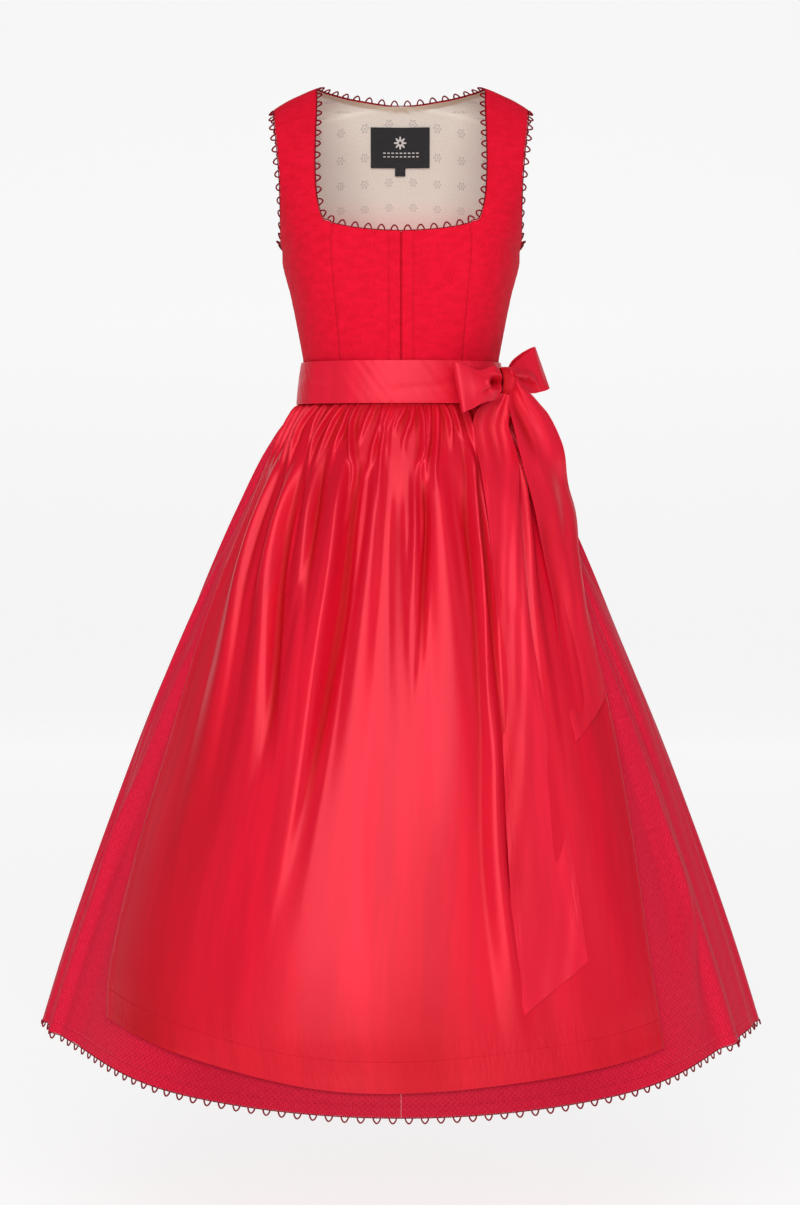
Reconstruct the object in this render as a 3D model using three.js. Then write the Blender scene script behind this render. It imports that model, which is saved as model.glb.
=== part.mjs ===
// A dirndl as it is worn: a fitted bodice with a square neckline and two wide straps, a gathered
// ankle-length skirt, a gathered satin apron over its front, and the apron's sash, which goes round
// the waist and is tied in a bow at the wearer's left. Looped picot braid edges the neck, the
// armholes and the skirt's hem. Every piece of cloth is a thin wall with nothing inside it.
//
// Units are millimetres. +Z is up, -Y is the front, +X is the wearer's left (the side of the bow).
// The origin lies between the tops of the two straps, where the wearer's shoulders carry it.
import * as THREE from 'three';

// ---- Driving dimensions -------------------------------------------------------------------
const WAIST_Z = -366; // the seam between bodice and skirt
const HEM_DROP = 791; // how far the hem is below the waist seam, at the sides
const FRONT_EXTRA = 0.049; // the front and back hang lower than the sides by this share
const SASH_TOP_Z = -335;
const SASH_FOOT_Z = -386;
const APRON_TOP_DROP = 20.4; // the apron starts just under the sash
const APRON_HEM_DROP = 765;
const WALL = { bodice: 2, skirt: 1.2, apron: 1.2, sash: 1.2, ribbon: 1.2, lining: 1, label: 1 };
const SEAM_GAP = 0.3;
const LAYER_GAP = 0.6; // between one layer of cloth and the next
const APRON_GATHERS = 24;
const SKIRT_GATHERS = 28; // round the sides and back, where the apron does not cover them
const PICOT = { pitch: 15.7, hemPitch: 18, width: 8, height: 5.8, cord: 0.85, clear: 0.35 };

// ---- Small helpers ------------------------------------------------------------------------
const V = (x, y, z) => new THREE.Vector3(x, y, z);
const clamp = (x, low = 0, high = 1) => Math.min(high, Math.max(low, x));
const mix = (a, b, t) => a + (b - a) * t;
const rad = (degrees) => (degrees * Math.PI) / 180;
function smooth(low, high, x) {
  const t = clamp((x - low) / (high - low));
  return t * t * (3 - 2 * t);
}

// A smooth curve through a table's rows: one named column as a function of another.
function track(table, key, column, x) {
  const last = table.length - 1;
  if (x <= table[0][key]) return table[0][column];
  if (x >= table[last][key]) return table[last][column];
  let i = 0;
  while (table[i + 1][key] < x) i++;
  const slope = (j) => {
    const a = table[Math.max(0, j - 1)];
    const b = table[Math.min(last, j + 1)];
    return (b[column] - a[column]) / (b[key] - a[key]);
  };
  const span = table[i + 1][key] - table[i][key];
  const t = (x - table[i][key]) / span;
  const a = table[i][column];
  const b = table[i + 1][column];
  const places = a * (1 + 2 * t) * (1 - t) ** 2 + b * t * t * (3 - 2 * t);
  const slopes = slope(i) * t * (1 - t) ** 2 + slope(i + 1) * t * t * (t - 1);
  return places + slopes * span;
}

// ---- Surfaces -----------------------------------------------------------------------------
// An open surface is { points, faces }. rows lists { v, n }: the row's place and its number of
// columns, which may halve from one row to the next. at(u, v) gives the points.
function grid(rows, at) {
  const points = [];
  const faces = [];
  const starts = rows.map(({ v, n }) => {
    const start = points.length;
    for (let j = 0; j <= n; j++) points.push(at(j / n, v));
    return start;
  });
  for (let i = 0; i + 1 < rows.length; i++) {
    const [a, b, na, nb] = [starts[i], starts[i + 1], rows[i].n, rows[i + 1].n];
    if (na === nb) {
      for (let j = 0; j < na; j++) {
        faces.push([a + j, a + j + 1, b + j + 1], [a + j, b + j + 1, b + j]);
      }
    } else {
      for (let j = 0; j < nb; j++) {
        const [p, q] = [a + 2 * j, b + j];
        faces.push([p, p + 1, q], [p + 1, p + 2, q + 1], [p + 1, q + 1, q]);
      }
    }
  }
  return { points, faces };
}

const evenRows = (n, count) => Array.from({ length: count + 1 }, (_, i) => ({ v: i / count, n }));

// Turns a surface so that its faces look away from the garment's upright axis.
function facingOut({ points, faces }) {
  let sum = 0;
  for (const [a, b, c] of faces) {
    const n = V().crossVectors(points[b].clone().sub(points[a]), points[c].clone().sub(points[a]));
    sum += n.x * points[a].x + n.y * points[a].y;
  }
  return { points, faces: sum < 0 ? faces.map(([a, b, c]) => [a, c, b]) : faces };
}

const placeKey = (p) => [p.x, p.y, p.z].map((c) => Math.round(c * 200)).join(' ');

// Several surfaces as one, sharing the points where they meet.
function weld(...surfaces) {
  const seen = new Map();
  const points = [];
  const faces = [];
  for (const s of surfaces) {
    const index = s.points.map((p) => {
      const key = placeKey(p);
      if (!seen.has(key)) seen.set(key, points.push(p) - 1);
      return seen.get(key);
    });
    faces.push(...s.faces.map((f) => f.map((i) => index[i])));
  }
  return { points, faces: faces.filter(([a, b, c]) => a !== b && b !== c && c !== a) };
}

const flip = (p) => V(-p.x, p.y, p.z);

const mirrored = ({ points, faces }) => ({
  points: points.map(flip),
  faces: faces.map(([a, b, c]) => [a, c, b]),
});

// The outward direction at each place, summed over all the surfaces that meet there, so that two
// walls on either side of a seam have parallel edges.
function normalsOf(surfaces) {
  const sums = new Map();
  for (const { points, faces } of surfaces) {
    for (const f of faces) {
      const [a, b, c] = f.map((i) => points[i]);
      const n = V().crossVectors(b.clone().sub(a), c.clone().sub(a));
      for (const p of [a, b, c]) {
        const key = placeKey(p);
        if (!sums.has(key)) sums.set(key, V());
        sums.get(key).add(n);
      }
    }
  }
  for (const n of sums.values()) n.normalize();
  return sums;
}

function freeEdges(faces) {
  const edges = faces.flatMap(([a, b, c]) => [[a, b], [b, c], [c, a]]);
  const known = new Set(edges.map((e) => e.join()));
  return edges.filter(([a, b]) => !known.has(b + ',' + a));
}

// The wall between two offsets of a surface, near being the outer one. Its free edges are pulled
// in by half a seam gap.
function wall(surface, near, far, neighbours = [], pull = SEAM_GAP / 2) {
  const { points, faces } = surface;
  const sums = normalsOf([surface, ...neighbours]);
  const normals = points.map((p) => sums.get(placeKey(p)));
  const edges = freeEdges(faces);
  const inward = new Map();
  for (const [a, b] of edges) {
    const along = points[b].clone().sub(points[a]).normalize();
    for (const i of [a, b]) {
      if (!inward.has(i)) inward.set(i, V());
      inward.get(i).add(V().crossVectors(normals[i], along));
    }
  }
  const moved = points.map((p, i) => {
    const q = p.clone();
    if (inward.has(i)) q.addScaledVector(inward.get(i).normalize(), pull);
    return q;
  });
  const layer = (offset) => moved.map((p, i) => p.clone().addScaledVector(normals[i], offset));
  const count = points.length;
  const sides = edges.flatMap(([a, b]) => [[b, a, a + count], [b, a + count, b + count]]);
  const inner = faces.map(([a, b, c]) => [a + count, c + count, b + count]);
  return solid([...layer(near), ...layer(far)], [...faces, ...inner, ...sides]);
}

// A closed body whose faces look outwards.
function solid(points, faces) {
  const spanned = ([a, b, c]) => points[a].dot(V().crossVectors(points[b], points[c]));
  const volume = faces.reduce((sum, face) => sum + spanned(face), 0);
  const outward = volume < 0 ? faces.map(([a, b, c]) => [a, c, b]) : faces;
  const geometry = new THREE.BufferGeometry();
  const numbers = points.flatMap((p) => p.toArray());
  geometry.setAttribute('position', new THREE.Float32BufferAttribute(numbers, 3));
  geometry.setIndex(outward.flat());
  geometry.computeVertexNormals();
  return geometry;
}

// ---- Bodice -------------------------------------------------------------------------------
// Each panel is a table of stations from the waist up. A station is a line across the panel, from
// its inner edge (i) to its outer edge (o). swingX and swingY are how far the line's middle swings
// out to the sides and to the front or back; sink is how much of the outer edge's height it takes.
// Two panels that share a seam have the same numbers there. The last row of CENTRE_FRONT and of
// SIDE_BACK lies beyond the panel: it only carries the seam's curve on.
const CENTRE_FRONT = [
  { ix: 0, iy: -91, iz: -366, ox: 73, oy: -71, oz: -366, swingX: 0.13, swingY: 1, sink: 0.5 },
  { ix: 0, iy: -95.5, iz: -333, ox: 74.5, oy: -76.5, oz: -333, swingX: 0.13, swingY: 1, sink: 0.5 },
  { ix: 0, iy: -101, iz: -300, ox: 76.5, oy: -88, oz: -300, swingX: 0.2, swingY: 1, sink: 0.5 },
  { ix: 0, iy: -106, iz: -255, ox: 80, oy: -102.5, oz: -255, swingX: 0.3, swingY: 1, sink: 0.5 },
  { ix: 0, iy: -109, iz: -218, ox: 83, oy: -109, oz: -215, swingX: 0.3, swingY: 1, sink: 0.1 },
  { ix: 0, iy: -109, iz: -200, ox: 83.5, oy: -108.5, oz: -193, swingX: 0.3, swingY: 1, sink: 0.1 },
  { ix: 0, iy: -108, iz: -183, ox: 83, oy: -105.5, oz: -173, swingX: 0.3, swingY: 1, sink: 0.1 },
  { ix: 0, iy: -105, iz: -166, ox: 94, oy: -102, oz: -166.5, swingX: 0.3, swingY: 1, sink: 0.1 },
];
const NECK_STATION = 6; // where the princess seam runs out into the neckline
const SIDE_FRONT = [
  { ix: 73, iy: -71, iz: -366, ox: 116, oy: 0, oz: -366, swingX: 1, swingY: 0.25, sink: 0.5 },
  { ix: 74.5, iy: -76.5, iz: -333, ox: 120.3, oy: 0, oz: -333, swingX: 1, swingY: 0.3, sink: 0.5 },
  { ix: 76.5, iy: -88, iz: -300, ox: 126.3, oy: 0, oz: -300, swingX: 0.95, swingY: 0.5, sink: 0.5 },
  { ix: 80, iy: -102.5, iz: -255, ox: 135.3, oy: 0, oz: -255, swingX: 0.9, swingY: 0.7, sink: 0.5 },
  { ix: 83, iy: -109, iz: -215, ox: 145, oy: 0, oz: -218, swingX: 0.85, swingY: 0.8, sink: 0.5 },
  { ix: 83.5, iy: -108.5, iz: -193, ox: 146, oy: 0, oz: -200, swingX: 0.85, swingY: 0.8, sink: 0.5 },
  { ix: 83, iy: -105.5, iz: -173, ox: 146.8, oy: -29, oz: -190, swingX: 0.8, swingY: 0.8, sink: 0.5 },
  { ix: 94, iy: -102, iz: -166.5, ox: 146.6, oy: -46, oz: -174, swingX: 0.7, swingY: 0.7, sink: 0.5 },
  { ix: 101, iy: -94, iz: -140, ox: 146.4, oy: -58, oz: -145, swingX: 0.5, swingY: 0.5, sink: 0.5 },
  { ix: 103.5, iy: -80, iz: -105, ox: 147.2, oy: -60, oz: -111, swingX: 0.4, swingY: 0.4, sink: 0.5 },
  { ix: 103.5, iy: -62, iz: -66, ox: 150, oy: -51, oz: -76, swingX: 0.3, swingY: 0.3, sink: 0.5 },
  { ix: 103, iy: -37, iz: -30, ox: 153.5, oy: -34, oz: -47, swingX: 0.3, swingY: 0.3, sink: 0.5 },
  { ix: 103.5, iy: -15, iz: -6, ox: 155.2, oy: -15, oz: -31, swingX: 0.3, swingY: 0.3, sink: 0.5 },
  { ix: 104, iy: 0, iz: 0, ox: 156, oy: 0, oz: -26, swingX: 0.3, swingY: 0.3, sink: 0.5 },
];
const ARMHOLE_STATION = 5; // the foot of the armhole, on the side seam
const SIDE_BACK = [
  { ix: 66, iy: 70, iz: -366, ox: 116, oy: 0, oz: -366, swingX: 1, swingY: 0.28, sink: 0.5 },
  { ix: 69, iy: 72, iz: -333, ox: 120.3, oy: 0, oz: -333, swingX: 1, swingY: 0.3, sink: 0.5 },
  { ix: 73, iy: 76, iz: -300, ox: 126.3, oy: 0, oz: -300, swingX: 0.95, swingY: 0.5, sink: 0.5 },
  { ix: 83, iy: 79, iz: -250, ox: 135.3, oy: 0, oz: -255, swingX: 0.9, swingY: 0.6, sink: 0.6 },
  { ix: 102, iy: 75, iz: -200, ox: 145, oy: 0, oz: -218, swingX: 0.9, swingY: 0.6, sink: 0.8 },
  { ix: 128, iy: 57, iz: -165, ox: 146, oy: 0, oz: -200, swingX: 0.8, swingY: 0.6, sink: 0.9 },
  { ix: 141, iy: 56, iz: -128, ox: 146.8, oy: -29, oz: -190, swingX: 0.8, swingY: 0.6, sink: 0.9 },
];
const BACK = [
  { ix: 0, iy: 85, iz: -366, ox: 66, oy: 70, oz: -366, swingX: 0.1, swingY: 1, sink: 0.5 },
  { ix: 0, iy: 86, iz: -333, ox: 69, oy: 72, oz: -333, swingX: 0.1, swingY: 1, sink: 0.5 },
  { ix: 0, iy: 88, iz: -300, ox: 73, oy: 76, oz: -300, swingX: 0.2, swingY: 1, sink: 0.5 },
  { ix: 0, iy: 92, iz: -245, ox: 83, oy: 79, oz: -250, swingX: 0.3, swingY: 1, sink: 0.5 },
  { ix: 0, iy: 94, iz: -195, ox: 102, oy: 75, oz: -200, swingX: 0.4, swingY: 1, sink: 0.5 },
  { ix: 0, iy: 94, iz: -152, ox: 128, oy: 57, oz: -165, swingX: 0.5, swingY: 0.9, sink: 0.5 },
  { ix: 0, iy: 91, iz: -113, ox: 141, oy: 56, oz: -128, swingX: 0.5, swingY: 0.8, sink: 0.5 },
  { ix: 0, iy: 83, iz: -68, ox: 147, oy: 52, oz: -92, swingX: 0.5, swingY: 0.8, sink: 0.5 },
  { ix: 0, iy: 66, iz: -13, ox: 150, oy: 42, oz: -66, swingX: 0.5, swingY: 0.8, sink: 0.3 },
  { ix: 54, iy: 55, iz: -7, ox: 152.5, oy: 30, oz: -47, swingX: 0.4, swingY: 0.7, sink: 0.35 },
  { ix: 88, iy: 30, iz: -2, ox: 154.8, oy: 15, oz: -33, swingX: 0.3, swingY: 0.5, sink: 0.5 },
  { ix: 104, iy: 0, iz: 0, ox: 156, oy: 0, oz: -26, swingX: 0.3, swingY: 0.3, sink: 0.5 },
];
const BACK_NECK_STATION = 8; // the middle of the back neckline
const LABEL = { x: -1, z: -60, width: 74, height: 49 };
const SIZE_TAB = { x: -1, z: -90.5, width: 13, height: 10 };

// A table's rows as one smooth run; station may lie between two rows.
function stationAt(table, station) {
  const rows = table.map((row, i) => ({ ...row, i }));
  return Object.fromEntries(Object.keys(table[0]).map((k) => [k, track(rows, 'i', k, station)]));
}

// A panel's surface: u runs from its inner to its outer edge, station from the waist up.
function panelAt(table, u, station) {
  const s = stationAt(table, station);
  const swung = V(
    mix((s.ix + s.ox) / 2, s.ox, s.swingX),
    mix((s.iy + s.oy) / 2, s.iy, s.swingY),
    mix(s.iz, s.oz, s.sink),
  );
  const a = (1 - u) ** 2;
  const b = 2 * u * (1 - u);
  const c = u * u;
  return V(
    a * s.ix + b * swung.x + c * s.ox,
    a * s.iy + b * swung.y + c * s.oy,
    a * s.iz + b * swung.z + c * s.oz,
  );
}

const panel = (table, columns, stations) =>
  facingOut(grid(stations.map((v) => ({ v, n: columns })), (u, v) => panelAt(table, u, v)));

const stations = (from, to) => Array.from({ length: to - from + 1 }, (_, i) => from + i);
const BODICE_COLUMNS = 6;

// A point on the back's flat facets, which what is sewn on the back follows.
function facetAt(table, u, station) {
  const column = Math.min(BODICE_COLUMNS - 1, Math.floor(u * BODICE_COLUMNS));
  const row = Math.floor(station);
  const [across, up] = [u * BODICE_COLUMNS - column, station - row];
  const corner = (j, i) => panelAt(table, (column + j) / BODICE_COLUMNS, row + i);
  const p = corner(0, 0).multiplyScalar(1 - Math.max(across, up));
  p.addScaledVector(corner(1, 1), Math.min(across, up));
  return p.addScaledVector(across > up ? corner(1, 0) : corner(0, 1), Math.abs(across - up));
}

// ---- Skirt --------------------------------------------------------------------------------
// The skirt's rings: drop is the fall below the waist seam at the sides; angle 0 is the middle of
// the front and 90 the wearer's left side.
const SKIRT_RINGS = [
  { drop: 0, half: 116, front: 91, back: 85 },
  { drop: 20, half: 123.5, front: 97, back: 91 },
  { drop: 39, half: 136, front: 106, back: 99 },
  { drop: 63, half: 151, front: 117, back: 109 },
  { drop: 88, half: 166, front: 128, back: 119 },
  { drop: 137, half: 191, front: 146, back: 137 },
  { drop: 187, half: 216, front: 162, back: 155 },
  { drop: 261, half: 251, front: 184, back: 180 },
  { drop: 386, half: 304, front: 215, back: 217 },
  { drop: 536, half: 358, front: 248, back: 251 },
  { drop: 687, half: 410, front: 279, back: 283 },
  { drop: 791, half: 443, front: 300, back: 302 },
];
// The skirt's long soft flutes: at is the ridge's angle, from the drop where it begins, height its
// height at the hem, width half of its width in degrees.
const FLUTES = [
  { at: -101, from: 90, height: 17, width: 11 },
  { at: -122, from: 130, height: 22, width: 12 },
  { at: -146, from: 80, height: 19, width: 13 },
  { at: -168, from: 150, height: 24, width: 11 },
  { at: 170, from: 100, height: 20, width: 12 },
  { at: 148, from: 140, height: 23, width: 12 },
  { at: 125, from: 90, height: 18, width: 12 },
  { at: 103, from: 120, height: 20, width: 11 },
  { at: 65, from: 140, height: 9, width: 5 },
  { at: -75, from: 240, height: 8, width: 5 },
];

const hump = (x) => (Math.abs(x) < 1 ? (1 + Math.cos(Math.PI * x)) / 2 : 0);

// How far the skirt stands out from its ring.
function skirtRelief(angle, drop) {
  const around = Math.abs(angle);
  const uncovered = smooth(74, 90, around);
  const swell = smooth(8, 60, drop) * (1 - smooth(90, 330, drop));
  const uneven = 0.75 + 0.25 * Math.sin(rad(around * 5.3));
  const gather = uncovered * (1.2 + 7 * swell * uneven) * (1 - smooth(200, 420, drop));
  let relief = gather * Math.cos(2 * Math.PI * SKIRT_GATHERS * ((around - 66) / 228));
  for (const f of FLUTES) {
    const off = ((angle - f.at + 540) % 360) - 180;
    relief += f.height * hump(off / f.width) * smooth(f.from, HEM_DROP, drop) ** 0.8;
  }
  return relief;
}

const ring = (key, drop) => track(SKIRT_RINGS, 'drop', key, drop);

// How far towards the front or back a place is, from 0 at the sides to 1: the skirt's width hangs
// from the hips, so lower down its sides are nearly creased.
function forwardness(c, drop) {
  const creased = mix(c ** 1.6, c, smooth(0.45, 0.85, c));
  return mix(c, creased, smooth(80, 560, drop));
}

// A point on the skirt's plain form, without its folds, moved out by lift.
function formAt(angle, drop, lift) {
  const [s, c] = [Math.sin(rad(angle)), Math.cos(rad(angle))];
  const half = ring('half', drop);
  const depth = ring(c > 0 ? 'front' : 'back', drop);
  const out = V(s / half, -c / depth, 0).normalize();
  const z = WAIST_Z - drop * (1 + FRONT_EXTRA * c * c);
  const y = -depth * Math.sign(c) * forwardness(Math.abs(c), drop);
  return V(half * s, y, z).addScaledVector(out, lift);
}

// A point of the skirt's outer face, moved out by lift.
const skirtAt = (angle, drop, lift = 0) => formAt(angle, drop, skirtRelief(angle, drop) + lift);

function skirtPanel(from, to, rows) {
  return facingOut(grid(rows, (u, v) => skirtAt(mix(from, to, u), v)));
}

// ---- Apron --------------------------------------------------------------------------------
const APRON_EDGES = [
  { drop: 20, left: -84, right: 82 },
  { drop: 110, left: -70, right: 71 },
  { drop: 300, left: -63.4, right: 57 },
  { drop: 400, left: -60.5, right: 53.5 },
  { drop: 530, left: -60, right: 50 },
  { drop: 680, left: -57.5, right: 45.9 },
  { drop: 765, left: -53.5, right: 45 },
];
const APRON_HEM = [
  { u: 0, drop: 740 },
  { u: 0.2, drop: 749 },
  { u: 0.45, drop: 765 },
  { u: 0.75, drop: 760 },
  { u: 1, drop: 756 },
];
// The apron's main folds: top and foot are the ridge's angles at the drops from and to, between
// which it shows; height is its height and width half of its width in degrees.
const APRON_FOLDS = [
  { top: -61, foot: -45, from: 25, to: 420, height: 9, width: 4.5 },
  { top: -47, foot: -30, from: 30, to: 470, height: 11, width: 4.5 },
  { top: -38, foot: -23, from: 25, to: 380, height: 10, width: 4 },
  { top: -24, foot: -18, from: 20, to: 480, height: 13, width: 5 },
  { top: -7, foot: -6, from: 20, to: 400, height: 10, width: 4 },
  { top: 5, foot: 6, from: 50, to: 300, height: 6, width: 3.5 },
  { top: 14, foot: 12, from: 20, to: 430, height: 9, width: 5 },
  { top: 28, foot: 10, from: 20, to: 1200, height: 6, width: 3 },
  { top: 71, foot: 54, from: 20, to: 400, height: 4, width: 4 },
];

function apronRelief(u, angle, drop) {
  const swell = smooth(18, 55, drop) * (1 - smooth(70, 230, drop));
  const uneven = 0.7 + 0.3 * Math.sin(u * 31 + 1);
  let relief = (1.4 + 5.5 * swell * uneven) * (1 - smooth(150, 300, drop));
  relief *= 0.5 + 0.5 * Math.cos(2 * Math.PI * APRON_GATHERS * u);
  for (const f of APRON_FOLDS) {
    const place = mix(f.top, f.foot, clamp((drop - f.from) / (f.to - f.from)) ** 0.6);
    const fade = smooth(mix(f.from, f.to, 0.35), f.to, drop);
    const show = smooth(f.from - 10, f.from + 90, drop) * (1 - fade);
    relief += f.height * show * hump((angle - place) / f.width);
  }
  return relief;
}

const apronAngle = (u, drop) =>
  mix(track(APRON_EDGES, 'drop', 'left', drop), track(APRON_EDGES, 'drop', 'right', drop), u);

// A point of the apron's outer face: the skirt's point under it, moved out.
function apronAt(u, row) {
  const short = APRON_HEM_DROP - track(APRON_HEM, 'u', 'drop', u);
  const drop = row - short * (row / APRON_HEM_DROP) ** 2;
  const clear = WALL.apron + LAYER_GAP + mix(2.1, 1.2, smooth(25, 60, drop));
  const angle = apronAngle(u, drop);
  return skirtAt(angle, drop, clear + apronRelief(u, angle, drop));
}

// ---- Sash and bow -------------------------------------------------------------------------
const SASH_RINGS = [
  { z: SASH_FOOT_Z, half: 129, front: 101.5, back: 96 },
  { z: SASH_TOP_Z, half: 122.8, front: 98.5, back: 89.8 },
];
const SASH_JOINS = 98; // degrees each way from the middle of the front, where the ties are sewn on

function sashAt(angle, z) {
  const [s, c] = [Math.sin(rad(angle)), Math.cos(rad(angle))];
  const half = track(SASH_RINGS, 'z', 'half', z);
  const depth = track(SASH_RINGS, 'z', c > 0 ? 'front' : 'back', z);
  // The bodice under it is squarer than an ellipse, so the band is too.
  const square = 1 + 0.035 * Math.sin(rad(2 * angle)) ** 2;
  return V(half * s * square, -depth * c * square, z);
}

const KNOT = { x: 128, y: -60, z: -362, turn: 56, wide: 15, deep: 13, tall: 19 };
// The bow's loops, each a ribbon that goes out from the knot and comes back in front of itself:
// turn is the way it points seen from above, reach its length, rise how much its far end is above
// the knot, root and end the ribbon's width there, and belly how far its two layers stand apart.
const BOW_LOOPS = [
  { name: 'bow_loop_right', turn: 222, reach: 74, rise: -3, root: 26, end: 58, belly: 13, lean: 12 },
  { name: 'bow_loop_left', turn: 30, reach: 33, rise: 21, root: 26, end: 54, belly: 12, lean: -22 },
];
// The sash's hanging ends: inner and outer are the ribbon's edges as angles round the skirt, lift
// how far it hangs in front of the skirt, and flare how much farther its outer edge stands out.
const TAILS = {
  bow_tail_long: [
    { drop: 22, inner: 44, outer: 60, lift: 15, flare: 0 },
    { drop: 40, inner: 36, outer: 59, lift: 15, flare: 0 },
    { drop: 70, inner: 33, outer: 55, lift: 15, flare: 0 },
    { drop: 104, inner: 30.9, outer: 48.5, lift: 15, flare: 0 },
    { drop: 140, inner: 29.5, outer: 43, lift: 15, flare: 0 },
    { drop: 213, inner: 26.9, outer: 37, lift: 14, flare: 0 },
    { drop: 297, inner: 24.4, outer: 34.3, lift: 12, flare: 0 },
    { drop: 416, inner: 21.5, outer: 33.6, lift: 11, flare: 0 },
    { drop: 516, inner: 20, outer: 33.3, lift: 10, flare: 0 },
    { drop: 641, inner: 19, outer: 32.4, lift: 9, flare: 0 },
    { drop: 690, inner: 19.7, outer: 32, lift: 9, flare: 0 },
  ],
  bow_tail_short: [
    { drop: 14, inner: 66, outer: 82, lift: 19, flare: 4 },
    { drop: 48, inner: 60, outer: 90, lift: 19, flare: 22 },
    { drop: 94, inner: 53, outer: 86, lift: 18, flare: 12 },
    { drop: 150, inner: 49, outer: 75, lift: 17, flare: 4 },
    { drop: 195, inner: 46.7, outer: 65, lift: 16, flare: 0 },
    { drop: 263, inner: 44.1, outer: 57, lift: 14, flare: 0 },
    { drop: 339, inner: 40.6, outer: 55, lift: 12, flare: 0 },
    { drop: 406, inner: 39.5, outer: 54, lift: 12, flare: 0 },
  ],
};
const TAIL_POINT = 48; // how much longer a tail's inner edge is than its outer one

const tailLift = (table, u, drop) =>
  track(table, 'drop', 'lift', drop) +
  track(table, 'drop', 'flare', drop) * u * u +
  1.5 * Math.sin(u * 5 + drop / 70) * smooth(60, 160, drop);

// A hanging end: the skirt's points moved out, cut off on the slant at its foot.
function tailAt(table, u, v) {
  const [top, foot] = [table[0].drop, table[table.length - 1].drop];
  const drop = mix(top, foot - TAIL_POINT * u, v);
  const angle = mix(track(table, 'drop', 'inner', drop), track(table, 'drop', 'outer', drop), u);
  return formAt(angle, drop, tailLift(table, u, drop));
}

// A bow loop: along runs round the loop from the knot and back, across over the ribbon's width.
function loopAt(loop, along, across) {
  const way = rad(loop.turn);
  const out = V(Math.cos(way), Math.sin(way), 0);
  const side = V(Math.cos(rad(KNOT.turn) - Math.PI / 2), Math.sin(rad(KNOT.turn) - Math.PI / 2), 0);
  const turn = Math.PI * (along * 2 - 1);
  const far = (1 + Math.cos(turn)) / 2;
  const reach = KNOT.wide + 1.5 + loop.reach * far ** 0.7;
  const apart = loop.belly * Math.sin(turn) * (0.25 + 0.75 * far ** 0.5);
  const width = mix(loop.root, loop.end, smooth(0, 0.9, far));
  const height = loop.rise * far + (across - 0.5) * width;
  const sway = loop.lean * (across - 0.5) * far;
  return V(KNOT.x, KNOT.y, KNOT.z)
    .addScaledVector(out, reach + sway)
    .addScaledVector(side, apart)
    .add(V(0, 0, height));
}

function knot() {
  const geometry = new THREE.SphereGeometry(1, 16, 10);
  const place = geometry.getAttribute('position');
  for (let i = 0; i < place.count; i++) {
    const p = V().fromBufferAttribute(place, i);
    // A wrapped ribbon has flattish top and bottom edges and a crease across it.
    const waist = 1 - 0.12 * Math.exp(-((p.y / 0.25) ** 2));
    const x = KNOT.wide * p.x * waist;
    const y = KNOT.deep * p.z * waist;
    const z = KNOT.tall * Math.sign(p.y) * Math.abs(p.y) ** 0.8;
    const turn = rad(KNOT.turn);
    place.setXYZ(
      i,
      KNOT.x + x * Math.cos(turn) + y * Math.sin(turn),
      KNOT.y + x * Math.sin(turn) - y * Math.cos(turn),
      KNOT.z + z,
    );
  }
  const open = { points: [], faces: [] };
  for (let i = 0; i < place.count; i++) open.points.push(V().fromBufferAttribute(place, i));
  for (let i = 0; i < geometry.index.count; i += 3) {
    open.faces.push([0, 1, 2].map((k) => geometry.index.getX(i + k)));
  }
  const { points, faces } = facingOut(weld(open));
  return solid(points, faces);
}

// ---- Picot braid --------------------------------------------------------------------------
// An edge of a cloth as a list of { p, n, o }: its points, the cloth's outward direction and the
// direction off the edge. at(t) gives its points for t from 0 to 1, within(t) points inside it.
function edge(at, within, count, thickness) {
  const list = [];
  for (let i = 0; i <= count; i++) {
    const t = i / count;
    const p = at(t);
    const along = at(Math.min(1, t + 1e-3)).sub(at(Math.max(0, t - 1e-3))).normalize();
    const off = p.clone().sub(within(t));
    off.addScaledVector(along, -off.dot(along)).normalize();
    const n = V().crossVectors(off, along);
    if (n.x * p.x + n.y * p.y < 0) n.negate();
    list.push({ p: p.clone().addScaledVector(n, -thickness / 2), n, o: off });
  }
  return list;
}

// The braid: a three-sided cord that runs along the edge and rises in a loop at every pitch.
function picots(list, spacing = PICOT.pitch) {
  const lengths = [0];
  for (let i = 1; i < list.length; i++) {
    lengths.push(lengths[i - 1] + list[i].p.distanceTo(list[i - 1].p));
  }
  const total = lengths[lengths.length - 1];
  const frameAt = (s) => {
    let i = 0;
    while (i + 2 < list.length && lengths[i + 1] < s) i++;
    const t = clamp((s - lengths[i]) / (lengths[i + 1] - lengths[i]));
    const [a, b] = [list[i], list[i + 1]];
    return { p: a.p.clone().lerp(b.p, t), n: a.n.clone().lerp(b.n, t), o: a.o.clone().lerp(b.o, t) };
  };
  const count = Math.floor(total / spacing);
  const pitch = total / count;
  const stops = [{ s: 1, rise: 0 }];
  for (let k = 0; k < count; k++) {
    const middle = (k + 0.5) * pitch;
    stops.push({ s: middle - PICOT.width / 2, rise: 0 });
    stops.push({ s: middle, rise: PICOT.height });
    stops.push({ s: middle + PICOT.width / 2, rise: 0 });
  }
  stops.push({ s: total - 1, rise: 0 });
  const path = stops.map(({ s, rise }) => {
    const f = frameAt(s);
    const clear = PICOT.clear + PICOT.cord + SEAM_GAP / 2;
    return { p: f.p.addScaledVector(f.o.normalize(), clear + rise), n: f.n.normalize() };
  });
  return cordAlong(path, PICOT.cord);
}

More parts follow.
